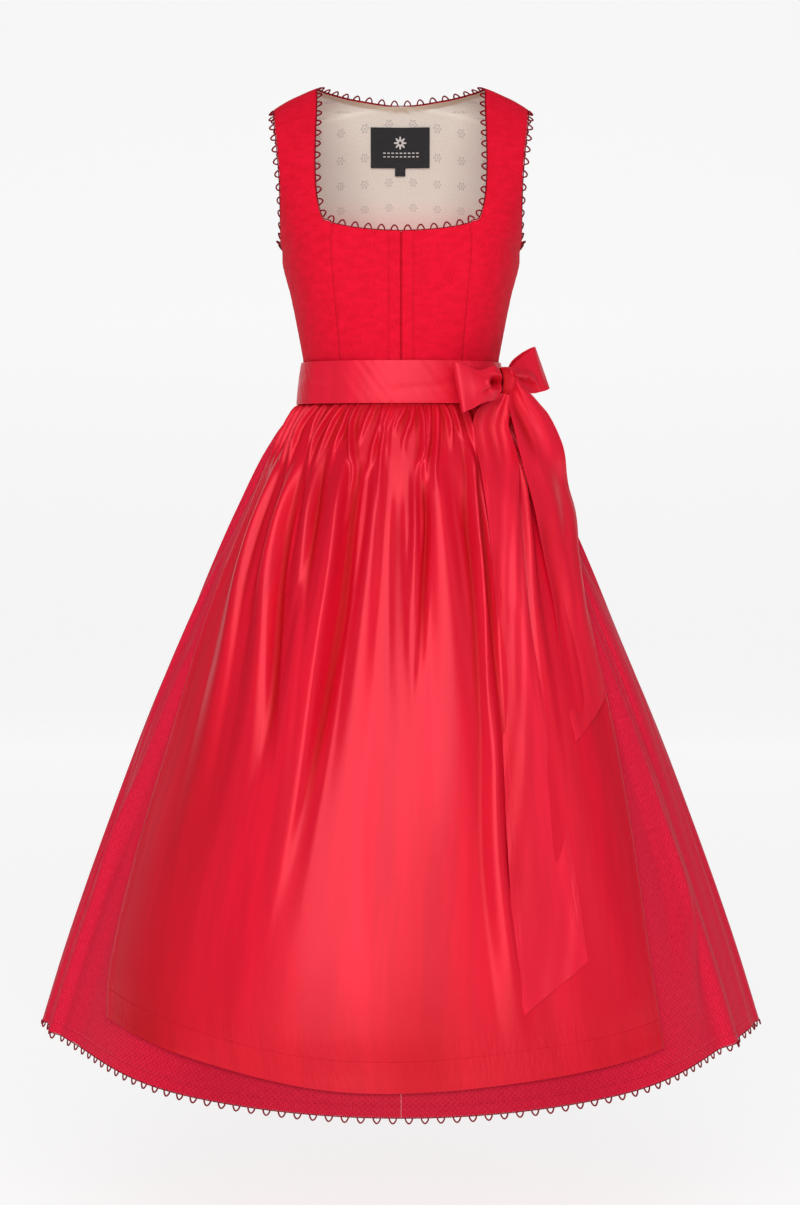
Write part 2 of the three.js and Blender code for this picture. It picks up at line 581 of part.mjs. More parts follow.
function cordAlong(path, radius) {
  const points = [];
  const faces = [];
  path.forEach(({ p, n }, i) => {
    const before = path[Math.max(0, i - 1)].p;
    const after = path[Math.min(path.length - 1, i + 1)].p;
    const side = V().crossVectors(after.clone().sub(before), n).normalize();
    for (let k = 0; k < 3; k++) {
      const turn = (2 * Math.PI * k) / 3;
      const spoke = n.clone().multiplyScalar(Math.cos(turn)).addScaledVector(side, Math.sin(turn));
      points.push(p.clone().addScaledVector(spoke, radius));
    }
    if (i === 0) return;
    for (let k = 0; k < 3; k++) {
      const [a, b] = [3 * (i - 1) + k, 3 * (i - 1) + ((k + 1) % 3)];
      faces.push([a, a + 3, b + 3], [a, b + 3, b]);
    }
  });
  const last = points.length - 3;
  faces.push([0, 1, 2], [last, last + 2, last + 1]);
  return solid(points, faces);
}

// ---- The garment --------------------------------------------------------------------------
const MATERIALS = {
  bodice: { color: 0xdb0a2a, roughness: 0.85 },
  skirt: { color: 0xc9263f, roughness: 0.55 },
  apron: { color: 0xd81430, roughness: 0.35 },
  sash: { color: 0xd8304a, roughness: 0.4 },
  braid: { color: 0x9c1026, roughness: 0.6 },
  lining: { color: 0xd8ccc0, roughness: 0.6 },
  label: { color: 0x1c1c1e, roughness: 0.6 },
};
const materials = {};
for (const [slot, look] of Object.entries(MATERIALS)) {
  materials[slot] = new THREE.MeshStandardMaterial({ ...look, side: THREE.DoubleSide });
}
const garment = new THREE.Group();

function add(name, geometry, slot) {
  const mesh = new THREE.Mesh(geometry, materials[slot]);
  mesh.name = name;
  garment.add(mesh);
}

function addBodice() {
  const centre = panel(CENTRE_FRONT, 4, stations(0, NECK_STATION));
  const side = panel(SIDE_FRONT, BODICE_COLUMNS, stations(0, SIDE_FRONT.length - 1));
  const sideBack = panel(SIDE_BACK, 4, stations(0, ARMHOLE_STATION));
  const halfBack = panel(BACK, BODICE_COLUMNS, stations(0, BACK.length - 1));
  const back = weld(halfBack, mirrored(halfBack));
  const all = [centre, side, sideBack].flatMap((s) => [s, mirrored(s)]).concat([back]);
  const addWall = (name, surface) =>
    add(name, wall(surface, 0, -WALL.bodice, all.filter((s) => s !== surface)), 'bodice');
  ['centre_front', 'side_front', 'side_back'].forEach((name, i) => {
    addWall(name + '_left', all[2 * i]);
    addWall(name + '_right', all[2 * i + 1]);
  });
  addWall('back', back);

  const lining = weld(back, sideBack, mirrored(sideBack));
  const from = -(WALL.bodice + LAYER_GAP);
  add('back_lining', wall(lining, from, from - WALL.lining, [], 0.6), 'lining');
}

// A small woven piece sewn flat on the lining: the back's points, moved in.
function addPatch(name, patch) {
  const at = (u, v) => {
    const [x, z] = [patch.x + (u - 0.5) * patch.width, patch.z + (v - 0.5) * patch.height];
    let [s, station] = [Math.abs(x) / 140, BACK_NECK_STATION - 1.5];
    for (let k = 0; k < 12; k++) {
      const p = facetAt(BACK, s, station);
      s = clamp(s + (Math.abs(x) - p.x) / 150);
      station += (z - p.z) / 50;
    }
    return V(x, facetAt(BACK, s, station).y, z);
  };
  const surface = facingOut(grid(evenRows(4, 2), at));
  const near = -(WALL.bodice + LAYER_GAP + WALL.lining + LAYER_GAP);
  add(name, wall(surface, near, near - WALL.label, [], 0), 'label');
}

function addSkirt() {
  const drops = [0.3, 20, 45, 85, 140, 215, 310, 430, 560, 680, HEM_DROP];
  const rows = (columns) => drops.map((v) => ({ v, n: v < 120 ? 2 * columns : columns }));
  const panels = {
    skirt_front_right: skirtPanel(-90, 0, rows(14)),
    skirt_front_left: skirtPanel(0, 90, rows(14)),
    skirt_back_left: skirtPanel(90, 180, rows(20)),
    skirt_back_right: skirtPanel(-180, -90, rows(20)),
  };
  for (const [name, surface] of Object.entries(panels)) {
    const others = Object.values(panels).filter((s) => s !== surface);
    add(name, wall(surface, 0, -WALL.skirt, others), 'skirt');
  }
}

function addApron() {
  const drops = [APRON_TOP_DROP, 34, 52, 80, 120, 170, 240, 320, 410, 520, 640, APRON_HEM_DROP];
  const rows = drops.map((v) => ({ v, n: v < 150 ? 4 * APRON_GATHERS : 2 * APRON_GATHERS }));
  add('apron', wall(facingOut(grid(rows, (u, v) => apronAt(u, v))), 0, -WALL.apron), 'apron');
}

function addSash() {
  const band = (from, to, columns) => {
    const at = (u, v) => sashAt(mix(from, to, u), mix(SASH_FOOT_Z, SASH_TOP_Z, v));
    return facingOut(grid(evenRows(columns, 2), at));
  };
  add('apron_band', wall(band(-SASH_JOINS, SASH_JOINS, 28), 0, -WALL.sash), 'sash');
  add('sash_back', wall(band(SASH_JOINS, 360 - SASH_JOINS, 24), 0, -WALL.sash), 'sash');
  add('bow_knot', knot(), 'sash');
  for (const loop of BOW_LOOPS) {
    const surface = grid(evenRows(20, 3), (u, v) => loopAt(loop, mix(0.03, 0.97, u), v));
    add(loop.name, wall(surface, 0, -WALL.ribbon), 'sash');
  }
  for (const [name, table] of Object.entries(TAILS)) {
    const surface = facingOut(grid(evenRows(4, 14), (u, v) => tailAt(table, u, v)));
    add(name, wall(surface, 0, -WALL.ribbon), 'sash');
  }
}

function addBraid() {
  const turned = (list) =>
    list.map(({ p, n, o }) => ({ p: flip(p), n: flip(n), o: flip(o) })).reverse();
  const join = (...lists) => lists.flatMap((list, i) => (i ? list.slice(1) : list));
  const along = (table, u, inside, from, to) =>
    edge(
      (t) => panelAt(table, u, mix(from, to, t)),
      (t) => panelAt(table, inside, mix(from, to, t)),
      Math.abs(to - from),
      WALL.bodice,
    );
  const top = (table, station, inside) =>
    edge((t) => panelAt(table, t, station), (t) => panelAt(table, t, inside), 4, WALL.bodice);

  const low = top(CENTRE_FRONT, NECK_STATION, NECK_STATION - 1);
  const strap = along(SIDE_FRONT, 0, 0.3, NECK_STATION, SIDE_FRONT.length - 1);
  const leftNeck = join(low, strap);
  add('neck_braid_front', picots(join(turned(leftNeck), leftNeck)), 'braid');
  const backNeck = along(BACK, 0, 0.3, BACK_NECK_STATION, BACK.length - 1);
  add('neck_braid_back', picots(join(turned(backNeck), backNeck)), 'braid');

  const armhole = join(
    along(SIDE_FRONT, 1, 0.7, ARMHOLE_STATION, SIDE_FRONT.length - 1),
    along(BACK, 1, 0.7, BACK.length - 1, ARMHOLE_STATION),
    top(SIDE_BACK, ARMHOLE_STATION, ARMHOLE_STATION - 0.4),
  );
  add('armhole_braid_left', picots(armhole), 'braid');
  add('armhole_braid_right', picots(turned(armhole)), 'braid');

  const addHem = (name, from, to, columns) => {
    const at = (drop) => (t) => skirtAt(mix(from, to, t), drop);
    const hem = edge(at(HEM_DROP), at(HEM_DROP - 20), columns, WALL.skirt);
    add(name, picots(hem, PICOT.hemPitch), 'braid');
  };
  addHem('hem_braid_front', -90, 90, 28);
  addHem('hem_braid_back', 90, 270, 40);
}

addBodice();
addPatch('label', LABEL);
addPatch('size_tab', SIZE_TAB);
addSkirt();
addApron();
addSash();
addBraid();

export default garment;
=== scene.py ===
"""A dirndl: fitted bodice with a square neck, gathered skirt, gathered satin apron and a tied bow.

Lengths in the tables are millimetres; a mesh gets its places in metres. +X is the wearer's left,
the side of the bow, -Y the front and +Z up. Angles round the skirt are degrees from the middle of
the front towards the wearer's left, and drops are falls below the waist seam.
"""

import math

import bmesh
import bpy
import numpy as np
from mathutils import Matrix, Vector


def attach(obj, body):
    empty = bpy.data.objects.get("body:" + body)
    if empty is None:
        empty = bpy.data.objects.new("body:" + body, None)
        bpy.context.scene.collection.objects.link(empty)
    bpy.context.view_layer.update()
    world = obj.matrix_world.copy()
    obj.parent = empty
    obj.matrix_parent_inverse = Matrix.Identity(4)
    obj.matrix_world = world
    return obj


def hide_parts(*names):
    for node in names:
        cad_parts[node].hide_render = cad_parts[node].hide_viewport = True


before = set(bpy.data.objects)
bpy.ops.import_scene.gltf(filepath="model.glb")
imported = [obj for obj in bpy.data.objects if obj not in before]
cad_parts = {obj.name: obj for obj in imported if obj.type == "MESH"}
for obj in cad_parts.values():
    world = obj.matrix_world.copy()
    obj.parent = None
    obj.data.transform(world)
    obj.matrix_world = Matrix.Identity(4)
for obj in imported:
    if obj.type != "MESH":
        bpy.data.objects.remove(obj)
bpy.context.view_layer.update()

# ---- Camera ---------------------------------------------------------------------------------
CAMERA_SIDE = -0.00124
CAMERA_BACK = 3.0
CAMERA_HEIGHT = -0.45005
CAMERA_TILT = 3.4416
LENS = 72.41


def add_camera():
    data = bpy.data.cameras.new("camera")
    data.lens = LENS
    data.sensor_width = 36
    data.clip_end = 50
    camera = bpy.data.objects.new("camera", data)
    camera.location = (CAMERA_SIDE, -CAMERA_BACK, CAMERA_HEIGHT)
    camera.rotation_euler = (math.radians(90 - CAMERA_TILT), 0, 0)
    bpy.context.scene.collection.objects.link(camera)
    bpy.context.scene.camera = camera


add_camera()

# ---- Numbers --------------------------------------------------------------------------------
WAIST_Z = -366
HEM_DROP = 791
FRONT_EXTRA = 0.049
SASH_TOP_Z, SASH_FOOT_Z = -335, -386
APRON_TOP_DROP = 18.6
APRON_HEM_DROP = 765
SASH_HEIGHT = 51
PICOT_PITCH, HEM_PICOT_PITCH = 15.7, 18
# The sizes that go into the node trees, in metres.
PICOT = {"Width": 0.0080, "Height": 0.0059, "Cord": 0.001}
CHAIN = {"Length": 0.0029, "Thick": 0.0016, "Every": 0.0022}
STITCH = {"Length": 0.0024, "Thick": 0.0007, "Every": 0.0034}
# How thick each cloth's wall is.
BODICE_WALL, LINING_WALL, SKIRT_WALL, TIE_WALL = 1.7, 0.6, 0.8, 0.6


def mix(a, b, t):
    return a + (b - a) * t


def smooth(low, high, x):
    t = np.clip((np.asarray(x, float) - low) / (high - low), 0, 1)
    return t * t * (3 - 2 * t)


def hump(x):
    """1 at 0, falling softly to 0 at -1 and 1."""
    x = np.clip(np.abs(x), 0, 1)
    return (1 + np.cos(np.pi * x)) / 2


def bell(x, width):
    """1 at 0, falling softly to almost 0 over twice the width."""
    return np.exp(-((x / width) ** 2))


def table(columns, *rows):
    """Rows of numbers by the names of their columns, with the row's own number as "row"."""
    made = dict(zip(columns.split(), np.array(rows, float).T))
    made["row"] = np.arange(len(rows), dtype=float)
    return made


def track(t, key, column, x):
    """A smooth curve through a table's rows: one column as a function of another."""
    xs, ys = t[key], t[column]
    slopes = np.gradient(ys) / np.gradient(xs)
    x = np.clip(np.asarray(x, float), xs[0], xs[-1])
    i = np.clip(np.searchsorted(xs, x, side="right") - 1, 0, len(xs) - 2)
    span = xs[i + 1] - xs[i]
    f = (x - xs[i]) / span
    rise = slopes[i] * span * f * (1 - f) ** 2 + slopes[i + 1] * span * f * f * (f - 1)
    return ys[i] * (1 + 2 * f) * (1 - f) ** 2 + ys[i + 1] * f * f * (3 - 2 * f) + rise


def ripple(x, seed):
    """An uneven line of soft bumps between -1 and 1, about one bump for each unit of x."""
    waves = 7
    rng = np.random.default_rng(seed)
    total = np.zeros_like(np.asarray(x, float))
    for rate, phase in zip(rng.uniform(0.55, 1.7, waves), rng.uniform(0, 2 * np.pi, waves)):
        total += np.sin(2 * np.pi * rate * x + phase)
    return total / waves ** 0.5 / 1.6


def places(x, y, z):
    return np.stack(np.broadcast_arrays(x, y, z), axis=-1)


def unit(v):
    return v / np.maximum(np.linalg.norm(v, axis=-1, keepdims=True), 1e-9)


def spread(rows, columns, from_row=0.0, to_row=1.0):
    """A net of (across, along) numbers, rows down and columns across."""
    return np.meshgrid(np.linspace(0, 1, columns + 1), np.linspace(from_row, to_row, rows + 1))


# ---- Meshes ---------------------------------------------------------------------------------
def net_normals(points):
    across = np.gradient(points, axis=1)
    down = np.gradient(points, axis=0)
    return unit(np.cross(across, down))


def hollows(points, away):
    """0 where a net is flat or rounded outwards from side to side, up to 1 in a narrow trough."""
    reach = 5
    wide = np.pad(points, ((0, 0), (reach, reach), (0, 0)), mode="edge")
    low, high = wide[:, : -2 * reach], wide[:, 2 * reach :]
    sunk = (((low + high) / 2 - points) * away).sum(axis=-1)
    return smooth(0.06, 0.7, 2 * sunk / np.maximum(np.linalg.norm(high - low, axis=-1), 1e-6))


def cloth(name, points, uv, finish, thick, out=None, layers=None):
    """A sheet of cloth on a net of places, which are on its outer face, thick millimetres thick.

    Without thick it has no wall yet. out gives the outer side for each place; without it that is
    the side away from the garment's upright axis.
    """
    rows, columns = points.shape[:2]
    count = rows * columns
    index = np.arange(count).reshape(rows, columns)
    quads = np.stack([index[:-1, :-1], index[:-1, 1:], index[1:, 1:], index[1:, :-1]], axis=-1)
    normals = net_normals(points)
    if out is None:
        out = points * (1, 1, 0)
    facing_out = (normals * out).sum() > 0
    if facing_out:
        quads = quads[..., ::-1]
    layers = dict(layers or {})
    # Painted shade: the "deep" layer darkens narrow troughs and the places of a given "shade"
    # layer, unless a piece gives its own.
    sunk = hollows(points, normals if facing_out else -normals)
    layers.setdefault("deep", np.maximum(sunk, layers.get("shade", 0)))
    # The net's normals are across times down, and a face's are the other way round.
    mesh = bpy.data.meshes.new(name)
    quads = quads[..., ::-1].reshape(-1, 4)
    mesh.vertices.add(count)
    mesh.vertices.foreach_set("co", (points.reshape(-1, 3) / 1000).astype(np.float32).ravel())
    mesh.loops.add(quads.size)
    mesh.loops.foreach_set("vertex_index", quads.ravel().astype(np.int32))
    mesh.polygons.add(len(quads))
    mesh.polygons.foreach_set("loop_start", (np.arange(len(quads)) * 4).astype(np.int32))
    mesh.polygons.foreach_set("use_smooth", np.ones(len(quads), dtype=bool))
    layer = mesh.uv_layers.new(name="cloth")
    flat = (np.stack(np.broadcast_arrays(*uv), axis=-1).reshape(-1, 2) / 1000)[quads.ravel()]
    layer.data.foreach_set("uv", flat.astype(np.float32).ravel())
    for key, values in layers.items():
        made = mesh.attributes.new(key, "FLOAT", "POINT")
        values = np.broadcast_to(values, (rows, columns))
        made.data.foreach_set("value", values.ravel().astype(np.float32))
    mesh.update(calc_edges=True)
    mesh.validate()
    ends = np.zeros(len(mesh.edges) * 2, dtype=np.int32)
    mesh.edges.foreach_get("vertices", ends)
    ends = ends.reshape(-1, 2)
    row, column = ends // columns, ends % columns
    same = ((row[:, 0] == row[:, 1]) & np.isin(row[:, 0], (0, rows - 1))) | (
        (column[:, 0] == column[:, 1]) & np.isin(column[:, 0], (0, columns - 1))
    )
    sharp = mesh.attributes.new("sharp_edge", "BOOLEAN", "EDGE")
    sharp.data.foreach_set("value", same)
    piece = bpy.data.objects.new(name + "_cloth", mesh)
    bpy.context.scene.collection.objects.link(piece)
    mesh.materials.append(finish)
    if thick:
        add_wall(piece, thick)
    return piece


def add_wall(piece, thick):
    """Gives a sheet its thickness, inwards from its outer face."""
    wall = piece.modifiers.new("wall", "SOLIDIFY")
    wall.thickness = thick / 1000
    wall.offset = -1


def path_mesh(name, points, layers):
    """A line of places joined by edges, with a direction for each place under each name."""
    mesh = bpy.data.meshes.new(name)
    edges = [(i, i + 1) for i in range(len(points) - 1)]
    mesh.from_pydata((points / 1000).tolist(), edges, [])
    for key, values in layers.items():
        made = mesh.attributes.new(key, "FLOAT_VECTOR", "POINT")
        made.data.foreach_set("vector", values.astype(np.float32).ravel())
    piece = bpy.data.objects.new(name, mesh)
    bpy.context.scene.collection.objects.link(piece)
    return piece


def joined(name, objects):
    """Several mesh objects as one plain mesh."""
    bpy.ops.object.select_all(action="DESELECT")
    for o in objects:
        o.select_set(True)
    bpy.context.view_layer.objects.active = objects[0]
    bpy.ops.object.join()
    made = bpy.context.view_layer.objects.active
    made.name = name
    made.select_set(False)
    return made


# ---- Node trees -----------------------------------------------------------------------------
def node(tree, kind, inputs=(), **settings):
    made = tree.nodes.new(kind)
    for key, value in settings.items():
        setattr(made, key, value)
    for key, value in dict(inputs).items():
        if isinstance(value, Num):
            value = value.socket
        if isinstance(value, bpy.types.NodeSocket):
            tree.links.new(value, made.inputs[key])
        else:
            made.inputs[key].default_value = value
    return made


class Num:
    """A number in a node tree, which sums and products can be made of."""

    def __init__(self, tree, socket):
        self.tree, self.socket = tree, socket

    def op(self, kind, *others):
        inputs = dict(enumerate((self, *others)))
        return Num(self.tree, node(self.tree, "ShaderNodeMath", inputs, operation=kind).outputs[0])

    def __add__(self, other):
        return self.op("ADD", other)

    def __sub__(self, other):
        return self.op("SUBTRACT", other)

    def __mul__(self, other):
        return self.op("MULTIPLY", other)

    def __truediv__(self, other):
        return self.op("DIVIDE", other)

    def __pow__(self, other):
        return self.op("POWER", other)

    def __abs__(self):
        return self.op("ABSOLUTE")

    def sin(self):
        return self.op("SINE")

    def cos(self):
        return self.op("COSINE")

    def within(self, low, high):
        """0 at low and 1 at high, with a soft change between."""
        inputs = {"Value": self, "From Min": low, "From Max": high}
        made = node(self.tree, "ShaderNodeMapRange", inputs, interpolation_type="SMOOTHSTEP")
        return Num(self.tree, made.outputs[0])


def named(tree, name):
    return Num(tree, node(tree, "ShaderNodeAttribute", attribute_name=name).outputs["Fac"])


def cloth_places(tree):
    """The cloth's own coordinates in metres, as a vector and as two numbers."""
    uv = node(tree, "ShaderNodeUVMap", uv_map="cloth").outputs[0]
    parts = node(tree, "ShaderNodeSeparateXYZ", {0: uv})
    return uv, Num(tree, parts.outputs[0]), Num(tree, parts.outputs[1])


def noise(tree, vector, scale, detail=2.0, rough=0.5):
    inputs = {"Vector": vector, "Scale": scale, "Detail": detail, "Roughness": rough}
    return Num(tree, node(tree, "ShaderNodeTexNoise", inputs).outputs[0])


def stretched(tree, vector, across, down, detail=2.0, rough=0.5):
    """Noise with the given number of grains to a metre across and down."""
    inputs = {0: vector, 1: (across, down, 1.0)}
    made = node(tree, "ShaderNodeVectorMath", inputs, operation="MULTIPLY")
    return noise(tree, made.outputs[0], 1.0, detail, rough)


def toned(colour, share):
    """A colour made darker, or lighter where share is over 1."""
    return tuple(share * c for c in colour)


def colour_mix(tree, share, first, second):
    made = node(tree, "ShaderNodeMix", data_type="RGBA")
    tree.links.new(share.socket, made.inputs["Factor"])
    for key, value in (("A", first), ("B", second)):
        socket = [s for s in made.inputs if s.name == key and s.type == "RGBA"][0]
        if isinstance(value, bpy.types.NodeSocket):
            tree.links.new(value, socket)
        else:
            socket.default_value = (*value, 1)
    return [s for s in made.outputs if s.type == "RGBA"][0]


def finish(name, **shader):
    """A new material, its tree and its shader, whose own sockets get the given numbers."""
    material = bpy.data.materials.new(name)
    material.use_nodes = True
    tree = material.node_tree
    made = tree.nodes["Principled BSDF"]
    for key, value in shader.items():
        made.inputs[key.replace("_", " ")].default_value = value
    return material, tree, made


def bump(tree, shader, height, distance, strength, below=None):
    """Raises the surface by height, a number from 0 to 1, times distance in metres."""
    inputs = {"Height": height, "Distance": distance, "Strength": strength}
    if below is not None:
        inputs["Normal"] = below
    made = node(tree, "ShaderNodeBump", inputs).outputs[0]
    tree.links.new(made, shader.inputs["Normal"])
    return made


def satin(name, colour, roughness):
    """Smooth shiny satin with a very fine weave, darkened by painted shade down in its folds."""
    material, tree, shader = finish(
        name, Roughness=roughness, Specular_IOR_Level=0.29, Metallic=0.1
    )
    shader.inputs["Specular Tint"].default_value = (1, 0.72, 0.8, 1)
    # Painted shade: the darker colour that the "deep" layer lays on troughs and shaded places.
    deep = tuple(share * c for share, c in zip((0.64, 0.03, 0.12), colour))
    uv, across, down = cloth_places(tree)
    streaks = stretched(tree, uv, 22, 2.5, 3.0, 0.6).within(0.38, 0.68)
    varied = colour_mix(tree, streaks, toned(colour, 0.9), toned(colour, 1.06))
    sunk = named(tree, "deep")
    tree.links.new(colour_mix(tree, sunk, varied, deep), shader.inputs["Base Color"])
    tree.links.new((sunk * 0.4 + roughness).socket, shader.inputs["Roughness"])
    threads = (across * 5200).sin() * 0.5 + (down * 5200).sin() * 0.5
    first = bump(tree, shader, threads, 0.00003, 0.4)
    soft = stretched(tree, uv, 26, 9, 2.0, 0.55)
    hem = named(tree, "hem")
    side = named(tree, "side")
    puckers = stretched(tree, uv, 190, 60)
    near_hem = hem.within(0.075, 0.03) * hem.within(0.0, 0.006)
    near_side = side.within(0.02, 0.006) * side.within(0.0, 0.002)
    line = abs(hem - 0.033).within(0.0018, 0.0004) + abs(side - 0.009).within(0.0016, 0.0004)
    height = soft * 0.3 + puckers * (near_hem + near_side) * 0.6 - line * 0.08
    bump(tree, shader, height, 0.002, 0.6, first)
    return material


def wool(name, deep, light):
    """Matte melange cloth, whose threads run mostly across."""
    material, tree, shader = finish(name, Roughness=0.85, Specular_IOR_Level=0.15)
    shader.inputs["Sheen Weight"].default_value = 0.08
    shader.inputs["Sheen Roughness"].default_value = 0.5
    shader.inputs["Sheen Tint"].default_value = (1, 0.2, 0.25, 1)
    uv, across, down = cloth_places(tree)
    streaks = stretched(tree, uv, 420, 1500, 3.0, 0.7)
    clouds = stretched(tree, uv, 60, 110, 3.0, 0.6)
    share = (streaks * 0.7 + clouds * 0.3).within(0.36, 0.62)
    melange = colour_mix(tree, share, deep, light)
    # Seam lines are darkened by the "deep" layer; where a piece gives none, that layer is painted
    # shade in its troughs.
    seamed_and_shaded = colour_mix(tree, named(tree, "deep") * 0.55, melange, toned(deep, 0.35))
    tree.links.new(seamed_and_shaded, shader.inputs["Base Color"])
    weave = (across * 4200).sin() * (down * 4200).sin()
    bump(tree, shader, weave * 0.4 + streaks, 0.00022, 0.7)
    return material


def jacquard(name, deep, light):
    """Fine shiny cloth with staggered rows of woven pin dots."""
    material, tree, shader = finish(name, Roughness=0.5, Specular_IOR_Level=0.06)
    shader.inputs["Sheen Weight"].default_value = 0.02
    shader.inputs["Sheen Tint"].default_value = (1, 0.3, 0.4, 1)
    uv, across, down = cloth_places(tree)
    spacing = 0.0055
    row = down / (spacing * 0.5)
    shift = row.op("FLOOR").op("FLOORED_MODULO", 2.0) * 0.5
    x = (across / spacing + shift).op("FRACT") - 0.5
    y = row.op("FRACT") - 0.5
    far = (x * x + y * y * 0.25) ** 0.5
    dots = far.within(0.17, 0.09)
    threads = stretched(tree, uv, 900, 160)
    ground = colour_mix(tree, threads.within(0.3, 0.7), deep, light)
    colour = colour_mix(tree, dots * 0.75, ground, toned(deep, 0.35))
    hem = named(tree, "hem")
    # Painted shadow: a piece's "shade" layer darkens the cloth, as under the apron.
    shaded = colour_mix(tree, named(tree, "shade"), colour, toned(deep, 0.45))
    tree.links.new(shaded, shader.inputs["Base Color"])
    first = bump(tree, shader, threads - dots, 0.0001, 0.6)
    puckers = stretched(tree, uv, 150, 14)
    soft = stretched(tree, uv, 22, 6)
    line = abs(hem - 0.012).within(0.0016, 0.0004)
    height = puckers * hem.within(0.05, 0.006) * 0.7 + soft * 0.35 - line * 0.3
    bump(tree, shader, height, 0.003, 0.6, first)
    return material


def lining_cloth(name):
    """Cream lining with a plain grey print of small six-petalled flowers in straight rows."""
    material, tree, shader = finish(name, Roughness=0.6, Specular_IOR_Level=0.35)
    uv, across, down = cloth_places(tree)
    cell = 0.031
    x = (across / cell).op("FRACT") - 0.5
    y = (down / cell).op("FRACT") - 0.5
    far = (x * x + y * y) ** 0.5
    petals = (y.op("ARCTAN2", x) * 6.0).cos() * 0.035 + 0.12
    print_share = abs(far - petals).within(0.022, 0.008) + far.within(0.035, 0.02)
    threads = stretched(tree, uv, 700, 700)
    ground = colour_mix(tree, threads.within(0.3, 0.7), (0.66, 0.59, 0.51), (0.76, 0.69, 0.61))
    printed = print_share.op("MINIMUM", 1.0) * 0.85
    marked = colour_mix(tree, printed, ground, (0.30, 0.27, 0.26))
    facing = named(tree, "facing")
    edged = colour_mix(tree, facing, marked, (0.50, 0.38, 0.28))
    # Painted reflected light: the lining turns pinker low down, where light bounces off the red
    # cloth round it.
    colour = colour_mix(tree, named(tree, "blush") * 0.65, edged, (0.80, 0.34, 0.33))
    tree.links.new(colour, shader.inputs["Base Color"])
    soft = stretched(tree, uv, 30, 20)
    bump(tree, shader, soft + facing * 0.4, 0.0015, 0.6)
    return material


def woven_label(name, width, height, marked=1.0):
    """Black woven label with a flower and two rows of short bars, or bare if marked is 0."""
    material, tree, shader = finish(name, Roughness=0.55, Specular_IOR_Level=0.3)
    _, across, down = cloth_places(tree)
    x = across - width / 2000
    y = down - height / 2000
    rise = y - 0.006
    far = (x * x + rise * rise) ** 0.5
    petals = (rise.op("ARCTAN2", x) * 8.0).cos() * 0.0022 + 0.0058
    flower = (far - petals).within(0.0003, -0.0003) - far.within(0.0022, 0.0016)
    bars = (across / 0.0052).op("FRACT").within(0.62, 0.56) * abs(x).within(0.0235, 0.023)
    rows = abs(abs(y + 0.0085) - 0.0022).within(0.0008, 0.0005)
    mark = (flower + bars * rows).op("MINIMUM", 1.0).op("MAXIMUM", 0.0) * marked
    threads = (down * 9000).sin()
    black, worn_black, grey = (0.008, 0.008, 0.009), (0.016, 0.016, 0.018), (0.62, 0.60, 0.58)
    ground = colour_mix(tree, threads.within(-1.0, 1.0), black, worn_black)
    tree.links.new(colour_mix(tree, mark, ground, grey), shader.inputs["Base Color"])
    bump(tree, shader, threads * 0.3 + mark, 0.0002, 0.7)
    return material


def yarn(name, deep, light):
    """Twisted crochet yarn or sewing thread."""
    material, tree, shader = finish(name, Roughness=0.55, Specular_IOR_Level=0.1)
    place = node(tree, "ShaderNodeTexCoord").outputs["Object"]
    strands = noise(tree, place, 900.0)
    colour = colour_mix(tree, strands.within(0.35, 0.65), deep, light)
    tree.links.new(colour, shader.inputs["Base Color"])
    bump(tree, shader, strands, 0.0003, 0.8)
    return material


APRON_SATIN = satin("apron satin", (0.71, 0.006, 0.026), 0.34)
TIE_SATIN = satin("tie satin", (0.76, 0.010, 0.034), 0.4)
BODICE_CLOTH = wool("bodice cloth", (0.60, 0.0005, 0.012), (0.80, 0.003, 0.030))
SKIRT_CLOTH = jacquard("skirt jacquard", (0.64, 0.008, 0.036), (0.80, 0.018, 0.056))
LINING_CLOTH = lining_cloth("printed lining")
BRAID_YARN = yarn("braid yarn", (0.13, 0.001, 0.006), (0.28, 0.002, 0.015))
RED_THREAD = yarn("red thread", (0.52, 0.004, 0.018), (0.66, 0.006, 0.026))

# ---- Bodice ---------------------------------------------------------------------------------
# A panel's rows go from the waist up: its inner edge (i), its outer edge (o), how far the middle
# swings out, and how much of the outer edge's height it takes.
PANEL_COLUMNS = "ix iy iz ox oy oz swing_x swing_y sink"
CENTRE_FRONT = table(
    PANEL_COLUMNS,
    (0, -91, -366, 73, -71, -366, 0.13, 1, 0.5),
    (0, -95.5, -333, 74.5, -76.5, -333, 0.13, 1, 0.5),
    (0, -101, -300, 76.5, -88, -300, 0.2, 1, 0.5),
    (0, -106, -255, 80, -102.5, -255, 0.3, 1, 0.5),
    (0, -109, -218, 83, -109, -215, 0.3, 1, 0.1),
    (0, -109, -200, 83.5, -108.5, -193, 0.3, 1, 0.1),
    (0, -108, -183, 83, -105.5, -173, 0.3, 1, 0.1),
    (0, -105, -166, 94, -102, -166.5, 0.3, 1, 0.1),
)
SIDE_FRONT = table(
    PANEL_COLUMNS,
    (73, -71, -366, 116, 0, -366, 1, 0.25, 0.5),
    (74.5, -76.5, -333, 120.3, 0, -333, 1, 0.3, 0.5),
    (76.5, -88, -300, 126.3, 0, -300, 0.95, 0.5, 0.5),
    (80, -102.5, -255, 135.3, 0, -255, 0.9, 0.7, 0.5),
    (83, -109, -215, 145, 0, -218, 0.85, 0.8, 0.5),
    (83.5, -108.5, -193, 146, 0, -200, 0.85, 0.8, 0.5),
    (83, -105.5, -173, 146.8, -29, -190, 0.8, 0.8, 0.5),
    (94, -102, -166.5, 146.6, -46, -174, 0.7, 0.7, 0.5),
    (101, -94, -140, 146.4, -58, -145, 0.5, 0.5, 0.5),
    (103.5, -80, -105, 147.2, -60, -111, 0.4, 0.4, 0.5),
    (103.5, -62, -66, 150, -51, -76, 0.3, 0.3, 0.5),
    (103, -37, -30, 153.5, -34, -47, 0.3, 0.3, 0.5),
    (103.5, -15, -6, 155.2, -15, -31, 0.3, 0.3, 0.5),
    (104, 0, 0, 156, 0, -26, 0.3, 0.3, 0.5),
)
